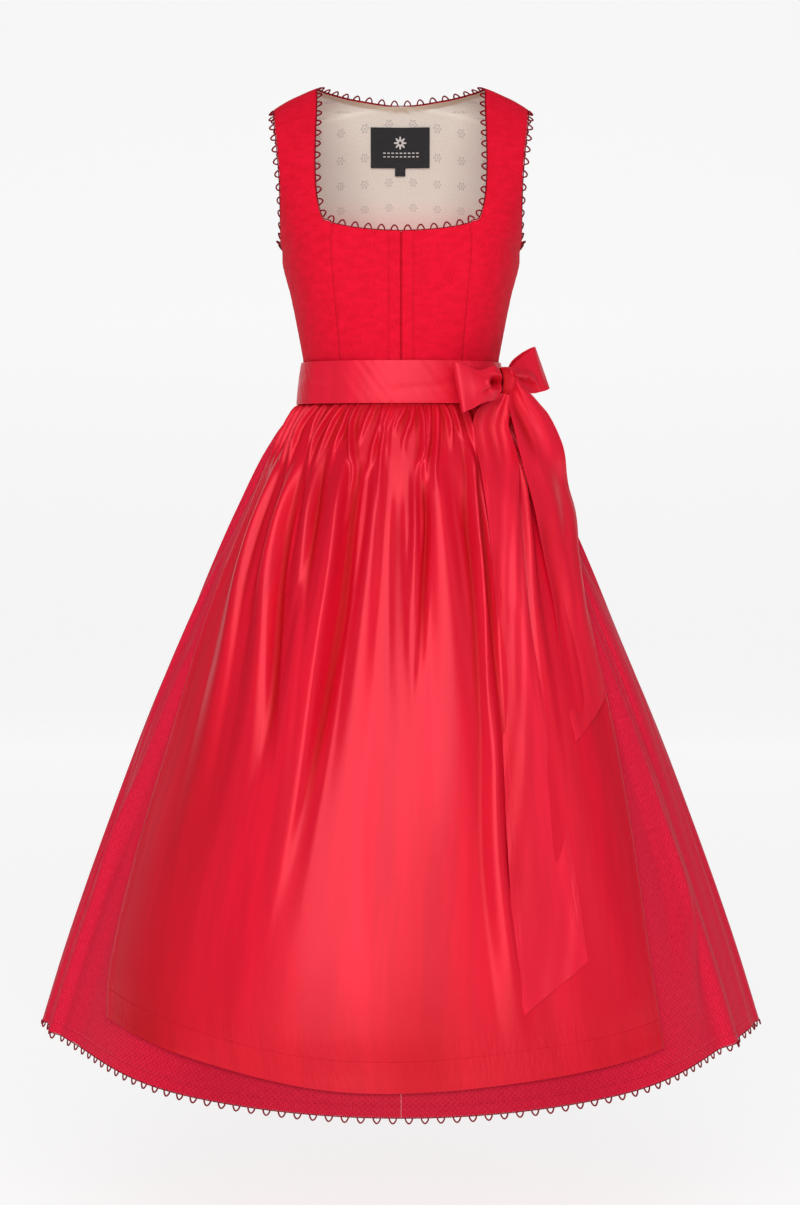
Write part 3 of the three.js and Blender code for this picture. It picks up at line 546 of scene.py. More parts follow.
SIDE_BACK = table(
    PANEL_COLUMNS,
    (66, 70, -366, 116, 0, -366, 1, 0.28, 0.5),
    (69, 72, -333, 120.3, 0, -333, 1, 0.3, 0.5),
    (73, 76, -300, 126.3, 0, -300, 0.95, 0.5, 0.5),
    (83, 79, -250, 135.3, 0, -255, 0.9, 0.6, 0.6),
    (102, 75, -200, 145, 0, -218, 0.9, 0.6, 0.8),
    (128, 57, -165, 146, 0, -200, 0.8, 0.6, 0.9),
    (141, 56, -128, 146.8, -29, -190, 0.8, 0.6, 0.9),
)
BACK = table(
    PANEL_COLUMNS,
    (0, 85, -366, 66, 70, -366, 0.1, 1, 0.5),
    (0, 86, -333, 69, 72, -333, 0.1, 1, 0.5),
    (0, 88, -300, 73, 76, -300, 0.2, 1, 0.5),
    (0, 92, -245, 83, 79, -250, 0.3, 1, 0.5),
    (0, 94, -195, 102, 75, -200, 0.4, 1, 0.5),
    (0, 94, -152, 128, 57, -165, 0.5, 0.9, 0.5),
    (0, 91, -113, 141, 56, -128, 0.5, 0.8, 0.5),
    (0, 83, -68, 147, 52, -92, 0.5, 0.8, 0.5),
    (0, 66, -13, 150, 42, -66, 0.5, 0.8, 0.3),
    (54, 55, -7, 152.5, 30, -47, 0.4, 0.7, 0.35),
    (88, 30, -2, 154.8, 15, -33, 0.3, 0.5, 0.5),
    (104, 0, 0, 156, 0, -26, 0.3, 0.3, 0.5),
)
NECK_STATION = 6
ARMHOLE_STATION = 5
BACK_NECK_STATION = 8
STRAP_TOP, BACK_STRAP_TOP = 13, 11
# The back neckline, which goes on over the middle to the other side.
BACK_NECK = table(
    "station ix iy iz",
    (7, -54, 55, -7),
    (8, 0, 66, -13),
    (9, 54, 55, -7),
    (10, 88, 30, -2),
    (11, 104, 0, 0),
)
# What is made for the wearer's left is turned over for the right.
SIDES = (("left", 1), ("right", -1))
LINING_DEPTH = 2.6


def panel_at(t, u, station):
    """A bodice panel's place: u across from its inner to its outer edge, station up."""
    s = {k: track(t, "row", k, station) for k in t if k != "row"}
    if t is BACK:
        above = np.asarray(station) > BACK_NECK_STATION
        for key, below in (("ix", 0), ("iy", s["iy"]), ("iz", np.minimum(s["iz"], -13))):
            s[key] = np.where(above, track(BACK_NECK, "station", key, station), below)
    swung = {
        "x": mix((s["ix"] + s["ox"]) / 2, s["ox"], s["swing_x"]),
        "y": mix((s["iy"] + s["oy"]) / 2, s["iy"], s["swing_y"]),
        "z": mix(s["iz"], s["oz"], s["sink"]),
    }
    a, b, c = (1 - u) ** 2, 2 * u * (1 - u), u * u
    return places(*[a * s["i" + k] + b * swung[k] + c * s["o" + k] for k in "xyz"])


def outwards(points, normals):
    """The normals, turned so that they point away from the upright axis."""
    sign = np.sign((normals * points * (1, 1, 0)).sum())
    return normals * sign


def net_lengths(points):
    """Distances across from the middle column, and up from the first row, in millimetres."""
    step_across = np.linalg.norm(np.diff(points, axis=1), axis=-1)
    across = np.concatenate([np.zeros((len(points), 1)), np.cumsum(step_across, axis=1)], axis=1)
    step_up = np.linalg.norm(np.diff(points, axis=0), axis=-1).mean(axis=1)
    up = np.concatenate([[0], np.cumsum(step_up)])[:, None] + np.zeros_like(across)
    return across, up


CLOSURE_STITCH = 14.5
SEAM_WIDTH, SEAM_DIP = 1.8, 1.1


def bodice_panel(name, t, last, seams, columns=60, closure=False):
    """A bodice panel for the wearer's left, and its mirror image; seams says which of the inner
    and outer edges is sewn to a neighbour, and there the cloth dips."""
    u, station = spread(last * 10, columns, 0, last)
    u = (1 - np.cos(np.pi * u)) / 2
    points = panel_at(t, u, station)
    across, up = net_lengths(points)
    width = across[:, -1:]
    normals = outwards(points, net_normals(points))
    lift = 0.35 * ripple(across / 34 + up / 60, 11)
    lift = lift * smooth(0, 25, across) * smooth(0, 25, width - across)
    dark = 0 * across
    for sewn, gap, seed in ((seams[0], across, 3), (seams[1], width - across, 4)):
        if sewn:
            dark = dark + 0.45 * bell(gap, 1.2)
            lift -= SEAM_DIP * np.exp(-((gap / SEAM_WIDTH) ** 1.4))
            lift += 0.35 * ripple(up / 9, seed) * np.exp(-gap / 7)
    if closure:
        beside = across - CLOSURE_STITCH
        dark = dark + bell(across, 0.9) + 0.4 * bell(beside, 0.8)
        lift += 0.8 * (1 - smooth(CLOSURE_STITCH + 0.5, CLOSURE_STITCH + 3, across))
        lift -= 2.2 * bell(across, 1.1) + 0.45 * bell(beside, 0.9)
        lift += 0.15 * ripple(up / 7, 6) * np.exp(-np.abs(beside) / 4)
    points = points + normals * lift[..., None]
    if closure:
        seam = np.array([
            [np.interp(CLOSURE_STITCH, row, line[:, k]) for k in range(3)]
            for row, line in zip(across, points)
        ])
        for side, flip in SIDES:
            line = seam[2:-2] * (flip, 1, 1) + (0, -0.15, 0)
            stitch_row("closure_stitches_" + side, line)
    made = []
    for side, flip in SIDES:
        uv = (across * flip, up)
        placed = points * (flip, 1, 1)
        layers = {"deep": dark}
        piece = cloth(name + "_" + side, placed, uv, BODICE_CLOTH, BODICE_WALL, layers=layers)
        made.append(piece)
    return made


def back_panel():
    """The back and its two straps, cut in one."""
    u, station = spread(118, 42, 0, BACK_STRAP_TOP)
    half = panel_at(BACK, u, station)
    across, up = net_lengths(half)
    normals = outwards(half, net_normals(half))
    sewn = smooth(4.8, 4.4, station)
    lift = -0.9 * sewn * np.exp(-(((across[:, -1:] - across) / 2.2) ** 1.4))
    lift += 0.4 * ripple(across / 40 + up / 70, 5) * smooth(0, 30, across)
    half = half + normals * lift[..., None]
    halves = [
        cloth("back_" + side, half * (flip, 1, 1), (across * flip, up), BODICE_CLOTH, None)
        for side, flip in SIDES
    ]
    return sewn_together("back_cloth", halves, BODICE_WALL)


def sewn_together(name, pieces, thick):
    """Sheets that have no walls yet as one, closed where their edges meet, with a wall."""
    piece = joined(name, pieces)
    mesh = bmesh.new()
    mesh.from_mesh(piece.data)
    bmesh.ops.remove_doubles(mesh, verts=mesh.verts, dist=1e-5)
    for edge in mesh.edges:
        edge.smooth = not edge.is_boundary
    mesh.to_mesh(piece.data)
    mesh.free()
    add_wall(piece, thick)
    return piece


def back_lining():
    """The printed lining of the back, inside it, with a narrow facing along the back neck."""
    neck = panel_at(BACK, np.zeros(60), np.linspace(BACK_NECK_STATION, BACK_STRAP_TOP, 60))
    # Each panel's net, its top station and how far from the middle its print begins.
    panels = ((BACK, 110, 34, BACK_STRAP_TOP, 0), (SIDE_BACK, 36, 16, ARMHOLE_STATION, 80))
    halves = []
    for side, flip in SIDES:
        for t, rows, columns, top, further in panels:
            half = panel_at(t, *spread(rows, columns, 0.02, top))
            across, up = net_lengths(half)
            half = half - outwards(half, net_normals(half)) * LINING_DEPTH
            far = np.linalg.norm(half[:, :, None, :] - neck, axis=-1).min(axis=-1)
            layers = {
                "facing": (1 - smooth(6, 7.5, far)) * (t is BACK),
                # Painted reflected light, pinker low down.
                "blush": smooth(-120, -185, half[..., 2]),
            }
            uv = ((across + further) * flip, up)
            placed = half * (flip, 1, 1)
            piece = cloth("back_lining_" + side, placed, uv, LINING_CLOTH, None, layers=layers)
            halves.append(piece)
    return sewn_together("back_lining_cloth", halves, LINING_WALL)


LABEL = {"x": -1, "z": -62.5, "width": 74, "height": 49}
SIZE_TAB = {"x": -1, "z": -92, "width": 13, "height": 10}


def patch(name, size, finish):
    """A small woven piece sewn flat on the lining, inside the back."""
    x, z = spread(14, 24)
    x = size["x"] + (x - 0.5) * size["width"]
    z = size["z"] + (z - 0.5) * size["height"]
    u = np.abs(x) / 140
    station = np.full_like(x, BACK_NECK_STATION - 1.5)
    for _ in range(30):
        p = panel_at(BACK, u, station)
        u = np.clip(u + (np.abs(x) - p[..., 0]) / 150, 0, 1)
        station = station + (z - p[..., 2]) / 50
    points = places(x, panel_at(BACK, u, station)[..., 1] - 4.0, z)
    uv = (x - size["x"] + size["width"] / 2, z - size["z"] + size["height"] / 2)
    edge = np.minimum(np.abs(np.abs(uv[0] - size["width"] / 2) - size["width"] / 2), 3)
    points[..., 1] -= 0.5 * smooth(0, 3, edge)
    return cloth(name, points, uv, finish, 0.8, out=points * (0, 1, 0))


# ---- Skirt ----------------------------------------------------------------------------------
SKIRT_RINGS = table(
    "drop half front back",
    (0, 116, 91, 85),
    (20, 123.5, 97, 91),
    (39, 136, 106, 99),
    (63, 151, 117, 109),
    (88, 166, 128, 119),
    (137, 191, 146, 137),
    (187, 216, 162, 155),
    (261, 251, 184, 180),
    (386, 304, 215, 217),
    (536, 358, 248, 251),
    (687, 410, 279, 283),
    (791, 443, 300, 302),
)
# Long soft flutes: the ridge's angle, the drop where it begins, its height at the hem and half
# of its width in degrees.
FLUTES = (
    (-101, 90, 17, 11),
    (-122, 130, 22, 12),
    (-146, 80, 19, 13),
    (-168, 150, 24, 11),
    (170, 100, 20, 12),
    (148, 140, 23, 12),
    (125, 90, 18, 12),
    (103, 120, 20, 11),
    (65, 140, 9, 5),
    (-75, 240, 8, 5),
)
SKIRT_GATHERS = 28
SKIRT_PER_DEGREE, SASH_PER_DEGREE = 6.2, 2.05


def forwardness(c, drop):
    creased = mix(c ** 1.6, c, smooth(0.45, 0.85, c))
    return mix(c, creased, smooth(80, 560, drop))


def depth_of(rings, key, at, c):
    """From the middle to the front where c, an angle's cosine, is above 0, or to the back."""
    return np.where(c > 0, track(rings, key, "front", at), track(rings, key, "back", at))


def form_at(angle, drop, lift):
    """A place on the skirt's plain form, without its folds, moved out by lift."""
    s, c = np.sin(np.radians(angle)), np.cos(np.radians(angle))
    half = track(SKIRT_RINGS, "drop", "half", drop)
    depth = depth_of(SKIRT_RINGS, "drop", drop, c)
    out = unit(places(s / half, -c / depth, 0.0))
    y = -depth * np.sign(c) * forwardness(np.abs(c), drop)
    z = WAIST_Z - drop * (1 + FRONT_EXTRA * c * c)
    return places(half * s, y, z) + out * np.asarray(lift, float)[..., None]


def skirt_relief(angle, drop):
    """How far the skirt stands out from its plain form."""
    around = np.abs(angle)
    uncovered = smooth(74, 90, around)
    swell = smooth(8, 60, drop) * (1 - smooth(90, 330, drop))
    uneven = 0.75 + 0.25 * np.sin(np.radians(around * 5.3))
    height = uncovered * (1.2 + 7 * swell * uneven) * (1 - smooth(200, 420, drop))
    wander = 0.9 * ripple(around / 30, 21) + 0.5 * ripple(around / 14 + drop / 300, 22)
    relief = height * np.cos(2 * np.pi * SKIRT_GATHERS * (around - 66) / 228 + wander)
    for at, start, rise, width in FLUTES:
        off = (angle - at + 540) % 360 - 180
        relief = relief + rise * hump(off / width) * smooth(start, HEM_DROP, drop) ** 0.8
    return relief


# Sharp folds beside the apron, written as the apron's are.
SKIRT_FOLDS = (
    (7, 9, 16, 0.3, 0.3, (-67, 280), (-68, 365), (-71.6, 502), (-78.5, 640)),
    (7, 16, 7, 0.2, 0.2, (58.6, 180), (61, 340), (62, 494), (62, 614), (54, 769)),
    (-6, 8, 8, 0.3, 0.4, (71, 190), (69, 256), (69, 378), (70, 520)),
    (5, 14, 10, 0.3, 0.4, (-76, 180), (-80, 330), (-84, 520)),
)

# ---- Apron ----------------------------------------------------------------------------------
APRON_EDGES = table(
    "drop left right",
    (20, -84, 82),
    (110, -70, 71),
    (300, -63.4, 57),
    (400, -60.5, 53.5),
    (530, -60, 50),
    (680, -57.5, 45.9),
    (765, -53.5, 45),
)
APRON_HEM_TURN = 33
SIDE_STITCH_SHARE = 0.0115
STITCH_LIFT = 0.2
APRON_WIDTH = 830
GATHER_NARROWING = 0.78
APRON_HEM = table("u drop", (0, 740), (0.2, 749), (0.45, 765), (0.75, 760), (1, 756))
# Folds of the apron: height of the ridge (below 0, a trough), how wide its left and its right
# flank are, over what shares of its length it rises and fades, then its places as angle and drop.
APRON_FOLDS = (
    (12, 14, 10, 0.3, 0.85, (-61, 40), (-58, 110), (-54, 204), (-48, 307), (-45, 420),
     (-44, 520), (-43, 610)),
    (14, 14, 11, 0.25, 0.85, (-47, 70), (-45, 120), (-42, 201), (-37, 290), (-34, 390),
     (-33, 500), (-32, 600)),
    (-10, 6, 6, 0.3, 0.85, (-41, 90), (-37, 200), (-32, 300), (-29, 370), (-28, 430), (-27, 500)),
    (13, 13, 10, 0.25, 0.85, (-38, 50), (-33, 130), (-29.5, 209), (-27, 297), (-26, 400),
     (-26, 500)),
    (20, 26, 7, 0.25, 0.5, (-24, 48), (-21.5, 120), (-20, 200), (-20.2, 300), (-21, 420),
     (-23, 560)),
    (-16, 5, 8, 0.2, 0.85, (-16.8, 75), (-16.6, 150), (-16, 240), (-17, 330),
     (-18.1, 420), (-20, 540), (-21.5, 640)),
    (9, 9, 12, 0.25, 0.85, (-9, 45), (-9, 150), (-10, 283), (-11, 430), (-12, 560)),
    (-5, 8, 8, 0.3, 0.85, (-1, 90), (-1, 195), (0, 360), (0.7, 500)),
    (8, 6, 6, 0.3, 0.7, (5, 80), (4.5, 150), (3.5, 220), (2, 340)),
    (-8, 3, 5, 0.3, 0.7, (9, 100), (8.3, 150), (6.2, 220), (4.5, 300), (3, 360)),
    (9, 16, 16, 0.2, 0.85, (14, 50), (13, 150), (12.5, 284), (12, 440), (12, 560)),
    (-6, 9, 9, 0.3, 0.85, (22, 90), (21, 241), (18, 380)),
    (-8, 6, 6, 0.3, 0.4, (31, 60), (26, 197), (22, 320), (20, 420)),
    (12, 8, 6, 0.15, 0.3, (31, 55), (29, 92), (26, 136), (23.5, 197), (20.5, 351),
     (18, 512), (18.5, 662), (19, 745)),
    (11, 7, 8, 0.2, 0.85, (54, 50), (52, 100), (44, 170), (38, 250), (34, 390), (31, 516)),
    (8, 9, 9, 0.3, 0.85, (62, 40), (60, 120), (52, 220), (46, 360), (42, 486)),
    (9, 11, 11, 0.3, 0.85, (70, 35), (66, 120), (60, 220), (54, 360), (50, 486)),
    (9, 62, 34, 0.6, 0.12, (-20, 240), (-20, 520), (-18, 765)),
    (5, 40, 30, 0.6, 0.2, (-50, 300), (-50, 560), (-48, 750)),
    (6, 34, 40, 0.6, 0.15, (3, 240), (1, 560), (-1, 755)),
    (5, 30, 30, 0.6, 0.2, (36, 300), (36, 600), (37, 745)),
)
# Short tight gathers under the band, in the same way.
APRON_GATHERS = (
    (6, 8, 5, 0, 0.6, (-70, 21), (-66, 60), (-62, 120)),
    (7, 8, 5, 0, 0.6, (-61, 22), (-60, 57), (-53, 110)),
    (9, 7, 5, 0, 0.5, (-53, 20), (-56, 45), (-54.5, 62), (-53, 80), (-46, 135)),
    (7, 6, 5, 0, 0.6, (-46, 20), (-46, 45), (-43, 90)),
    (9, 8, 5, 0, 0.6, (-37, 20), (-41, 52), (-40.5, 77), (-35, 138)),
    (7, 7, 5, 0, 0.6, (-32, 20), (-35, 40), (-36, 68), (-36, 110)),
    (7, 6, 5, 0, 0.6, (-28, 20), (-28.5, 45), (-29.5, 68), (-27.5, 110)),
    (9, 6, 4, 0, 0.6, (-23.5, 20), (-24.5, 42), (-21, 74), (-18.5, 99), (-18, 136)),
    (6, 6, 5, 0, 0.7, (-15, 20), (-17.5, 44), (-19.5, 75)),
    (6, 5, 6, 0, 0.5, (-9, 22), (-10, 42), (-12, 67), (-12.5, 90), (-14.5, 108)),
    (8, 5, 5, 0, 0.6, (-5, 20), (-7.5, 40), (-8, 62), (-8, 94), (-7, 166)),
    (6, 6, 5, 0, 0.6, (-1, 20), (-5, 42), (-6, 62), (-5, 95)),
    (6, 6, 5, 0, 0.7, (3, 20), (-1.5, 40), (-4, 62)),
    (6, 5, 6, 0, 0.7, (6.5, 20), (5, 36), (2.5, 52), (1, 68), (2, 90)),
    (8, 6, 4, 0, 0.6, (10.5, 20), (11, 40), (9.5, 67), (8, 83), (6.5, 94), (5.5, 144)),
    (7, 6, 5, 0, 0.6, (15, 20), (12.5, 56), (9.5, 85), (8, 130)),
    (7, 6, 5, 0, 0.6, (19.5, 20), (16.5, 56), (13, 94), (13, 127)),
    (7, 6, 4, 0, 0.6, (24, 20), (24.5, 42), (21.5, 82)),
    (7, 6, 4, 0, 0.6, (29, 20), (28.5, 45), (29.5, 66)),
    (7, 6, 5, 0, 0.6, (36, 20), (35, 50), (33, 90)),
    (7, 6, 5, 0, 0.6, (43, 20), (42, 60), (39, 110)),
    (7, 6, 5, 0, 0.6, (49, 20), (48, 60), (46, 90)),
    (7, 6, 5, 0, 0.6, (56, 20), (56, 60), (52, 100)),
    (7, 6, 5, 0, 0.6, (63, 20), (62, 60), (60, 110)),
    (7, 6, 5, 0, 0.6, (70, 20), (68, 60), (65, 90)),
    (7, 6, 5, 0, 0.6, (77, 20), (73, 60), (70, 100)),
    (7, 6, 5, 0, 0.6, (-77, 20), (-72, 60), (-69, 100)),
)


def folds_at(folds, angle, drop, narrow=1.0):
    """The height of the folds at each place: the distance to each fold's line gives its flank."""
    half = track(SKIRT_RINGS, "drop", "half", drop) * 0.93
    total = np.zeros(np.broadcast(angle, drop).shape)
    for rise, left, right, rising, fading, *line in folds:
        line = table("angle drop", *line)
        steps = np.linspace(0, len(line["row"]) - 1, 5 * len(line["row"]))
        angles, drops = track(line, "row", "angle", steps), track(line, "row", "drop", steps)
        best = np.full(total.shape, 1e9)
        share = np.zeros(total.shape)
        for i in range(len(steps) - 1):
            here_x = np.radians(angle - angles[i]) * half
            here_y = drop - drops[i]
            way_x = np.radians(angles[i + 1] - angles[i]) * half
            way_y = drops[i + 1] - drops[i]
            along = (here_x * way_x + here_y * way_y) / (way_x ** 2 + way_y ** 2 + 1e-9)
            along = np.clip(along, 0, 1)
            off_x, off_y = here_x - along * way_x, here_y - along * way_y
            flank = narrow * np.where(off_x < 0, left, right)
            flank = flank * (1 + np.maximum(drop - 150, 0) / 300)
            far = np.hypot(off_x, off_y * 0.8) / flank
            nearer = far < best
            best = np.where(nearer, far, best)
            share = np.where(nearer, (i + along) / (len(steps) - 1), share)
        strength = (smooth(0, rising, share) if rising else 1) * (1 - smooth(1 - fading, 1, share))
        total += rise * strength * np.clip(1 - best ** 2, 0, 1) ** 1.5
    return total


def apron_relief(angle, drop):
    middle = 1 - smooth(40, 62, np.abs(angle))
    base = 1.0 + (2 + 5 * middle) * smooth(20, 220, drop) * (1 - smooth(300, 600, drop))
    base = base + 1.5 * smooth(300, 520, drop)
    top = smooth(APRON_TOP_DROP, 30, drop)
    relief = base * top + folds_at(APRON_FOLDS, angle, drop)
    gathers = folds_at(APRON_GATHERS, angle, drop, GATHER_NARROWING)
    relief += gathers * smooth(APRON_TOP_DROP - 2, 24, drop)
    fine = 0.4 * ripple(angle / 3.1, 31)
    relief += fine * smooth(APRON_TOP_DROP, 24, drop) * (1 - smooth(28, 75, drop))
    return (relief + np.sqrt(relief ** 2 + 1.2)) / 2


def apron_at(u, row, lift=0.0):
    """A place on the apron's outer face."""
    short = APRON_HEM_DROP - track(APRON_HEM, "u", "drop", u)
    drop = row - short * (row / APRON_HEM_DROP) ** 2
    edges = [track(APRON_EDGES, "drop", edge, drop) for edge in ("left", "right")]
    angle = mix(*edges, u)
    clear = mix(1.6, 2.7, smooth(18, 30, drop))
    lifted = clear + apron_relief(angle, drop) + skirt_relief(angle, drop) + lift
    return form_at(angle, drop, lifted), angle, drop


def add_apron():
    u = np.linspace(0, 1, 291)
    gathered, hanging = np.linspace(APRON_TOP_DROP, 130, 70), np.linspace(134, APRON_HEM_DROP, 98)
    u, row = np.meshgrid(u, np.concatenate([gathered, hanging]))
    points, angle, drop = apron_at(u, row)
    hem = (track(APRON_HEM, "u", "drop", u) - drop) / 1000
    widths = np.linalg.norm(np.diff(points, axis=1), axis=-1).sum(axis=1)[:, None]
    side = np.minimum(u, 1 - u) * widths / 1000
    # Painted shade: a dark line under the band, darker zones round -44 and 3 degrees lower down,
    # darker near the hem, and dark pockets between the gathers under the band.
    shade = 0.7 * (1 - smooth(20, 29, drop))
    shade = shade + 0.4 * hump((angle + 44) / 12) * smooth(300, 480, drop)
    shade += 0.4 * smooth(600, 760, drop) + 0.25 * hump((angle - 3) / 10) * smooth(420, 600, drop)
    gather_pocket_shade = smooth(0.2, -1.3, folds_at(APRON_GATHERS, angle, drop, GATHER_NARROWING))
    shade += 0.85 * gather_pocket_shade * (1 - smooth(60, 150, drop)) * (1 - shade)
    layers = {"hem": hem, "side": side, "shade": np.clip(shade, 0, 1)}
    along = np.linspace(0.006, 0.994, 420)
    line = apron_at(along, APRON_HEM_DROP - APRON_HEM_TURN, STITCH_LIFT)[0]
    stitch_row("apron_hem_stitches", line)
    down = np.linspace(APRON_TOP_DROP + 3, APRON_HEM_DROP - 4, 420)
    for side_name, share in (("right", SIDE_STITCH_SHARE), ("left", 1 - SIDE_STITCH_SHARE)):
        line = apron_at(0 * down + share, down, STITCH_LIFT)[0]
        stitch_row("apron_side_stitches_" + side_name, line)
    return cloth("apron", points, (u * APRON_WIDTH, -row), APRON_SATIN, SKIRT_WALL, layers=layers)


def add_skirt():
    made = []
    drops = np.concatenate([np.linspace(0.4, 120, 36), np.linspace(126, HEM_DROP, 76)])
    for name, start, end in (
        ("skirt_front_right", -90, -0.01),
        ("skirt_front_left", 0.01, 90),
        ("skirt_back_left", 90.02, 179.99),
        ("skirt_back_right", -179.99, -90.02),
    ):
        angle, drop = np.meshgrid(np.linspace(start, end, 141), drops)
        relief = skirt_relief(angle, drop)
        shown = smooth(52, 62, np.abs(angle))
        relief = relief + 0.8 * shown * ripple(angle / 13 + drop / 900, 41) * smooth(80, 300, drop)
        relief = relief + folds_at(SKIRT_FOLDS, angle, drop)
        uv = (angle * SKIRT_PER_DEGREE, -drop)
        # Painted shadow of the apron on the middle of the skirt near its hem.
        apron_shadow = (1 - smooth(26, 52, np.abs(angle))) * smooth(640, 735, drop)
        layers = {"hem": (HEM_DROP - drop) / 1000, "shade": 0.55 * apron_shadow}
        points = form_at(angle, drop, relief)
        made.append(cloth(name, points, uv, SKIRT_CLOTH, SKIRT_WALL, layers=layers))
    return made


# ---- Sash and bow ---------------------------------------------------------------------------
SASH_RINGS = table(
    "z half front back",
    (SASH_FOOT_Z, 129, 101.5, 96),
    (SASH_TOP_Z, 122.8, 98.5, 89.8),
)
SASH_JOINS = 98


def sash_at(angle, z, lift=0.0):
    s, c = np.sin(np.radians(angle)), np.cos(np.radians(angle))
    half = track(SASH_RINGS, "z", "half", z)
    depth = depth_of(SASH_RINGS, "z", z, c)
    square = 1 + 0.035 * np.sin(np.radians(2 * angle)) ** 2
    out = unit(places(s / half, -c / depth, 0.0))
    lift = np.asarray(lift, float)[..., None]
    return places(half * s * square, -depth * c * square, z) + out * lift


def add_band(name, start, end, columns, creases):
    """The band round the waist: a flat strip with long faint creases."""
    angle, up = np.meshgrid(np.linspace(start, end, columns + 1), np.linspace(0, 1, 25))
    z = mix(SASH_FOOT_Z, SASH_TOP_Z, up)
    lift = 0.9 * np.sin(np.pi * up) ** 0.6
    for at, height, slope, deep, reach in creases:
        line = height + slope * (angle - at) / 30
        lift -= deep * bell(up - line, 0.09) * hump((angle - at) / reach)
    lift += 0.25 * ripple(angle / 9 + up * 2, 51)
    uv = (angle * SASH_PER_DEGREE, up * SASH_HEIGHT)
    return cloth(name, sash_at(angle, z, lift), uv, TIE_SATIN, SKIRT_WALL)


# Creases of the band: the middle's angle and share of the height, slope, depth and reach.
BAND_CREASES = (
    (-48, 0.42, -0.15, 0.9, 26),
    (-26, 0.7, 0.1, 0.6, 20),
    (6, 0.35, 0.12, 0.7, 30),
    (33, 0.55, 0.3, 1.1, 20),
    (40, 0.25, 0.35, 0.9, 16),
    (-74, 0.6, 0.2, 0.8, 20),
    (80, 0.5, 0.2, 0.8, 20),
)
BACK_CREASES = (
    (120, 0.4, 0.2, 0.9, 24),
    (150, 0.62, -0.2, 1.1, 26),
    (180, 0.5, 0.5, 1.4, 30),
    (206, 0.35, -0.3, 1.1, 24),
    (236, 0.6, 0.2, 0.9, 24),
)


def curve_through(rows, count):
    """A smooth line of count + 1 places through the rows of (x, y, z)."""
    line = table("x y z", *rows)
    steps = np.linspace(0, len(rows) - 1, count + 1)
    return places(*[track(line, "row", key, steps) for key in "xyz"])


def ribbon_net(top, foot, along, across):
    """A net between two lines of places."""
    first, second = curve_through(top, along), curve_through(foot, along)
    share = np.linspace(0, 1, across + 1)[None, :, None]
    return mix(first[:, None, :], second[:, None, :], share)


def loop_net(top, foot, across):
    """A loop's net between its two edges, the shares along it and up it, and 1 on its front."""
    share = np.linspace(0, 1, 121)[:, None]
    up = np.linspace(0, 1, across + 1)[None, :]
    return ribbon_net(top, foot, 120, across), share, up, smooth(0.46, 0.56, share)


def from_middle(points):
    """Away from the middle of a piece."""
    return points - points.mean(axis=(0, 1))


def add_loop_right():
    """The loop at the front: it leaves the knot, turns back on itself and ends in a curl."""
    top = (
        (124, -56, -352), (104, -64, -346), (80, -87, -341), (64, -106, -338),
        (60.5, -115, -338), (66, -120, -339), (80, -116, -343), (93, -110, -347.5),
        (104, -103, -344), (112, -98, -342), (117, -92, -345),
    )
    foot = (
        (122, -58, -372), (104, -70, -381), (86, -94, -392), (75, -114, -397),
        (71.5, -121, -397.5), (75, -126, -397), (86, -121, -392.5), (96, -116, -387),
        (105, -109, -384), (110, -103, -383), (114, -96, -382),
    )
    points, share, up, front = loop_net(top, foot, 50)
    full = np.sin(np.pi * up)
    fuller = 4.5 * smooth(0.5, 0.7, share) * (1 - smooth(0.86, 1, share))
    belly = full * (fuller - 5.0 * (1 - smooth(0.3, 0.4, share)))
    hole = np.hypot(points[..., 0] - 111, (points[..., 2] + 361) * 0.8)
    dimple = 26 * bell(hole, 4.0) - 2.2 * bell(hole - 8, 3.0)
    crease = 3.0 * bell(up - 0.62 - 0.35 * (0.85 - share), 0.07) * smooth(0.62, 0.8, share)
    tuck = 1.5 * bell(up - 0.25 + 0.2 * (0.85 - share), 0.08) * smooth(0.66, 0.85, share)
    creases = (crease + tuck) * (1 - smooth(0.86, 0.92, share))
    push = np.where(front > 0, (dimple + creases) * front - belly, -belly)
    way = unit(np.array((-0.35, 1.0, 0.0)))
    points = points + way * push[..., None]
    # The end next to the knot is rolled over in a bow, with a turned edge.
    rolled = smooth(0.86, 1, share) * full
    edge = 1.8 * bell(share - 0.965, 0.014) - 1.8 * bell(share - 0.993, 0.012)
    inwards = 1.5 * smooth(0.95, 1, share) + edge * smooth(0, 0.12, full)
    points = points + places(5.5 * rolled, inwards, 0)
    uv = (share * 190, up * SASH_HEIGHT)
    return cloth("bow_loop_right", points, uv, TIE_SATIN, TIE_WALL, out=from_middle(points))


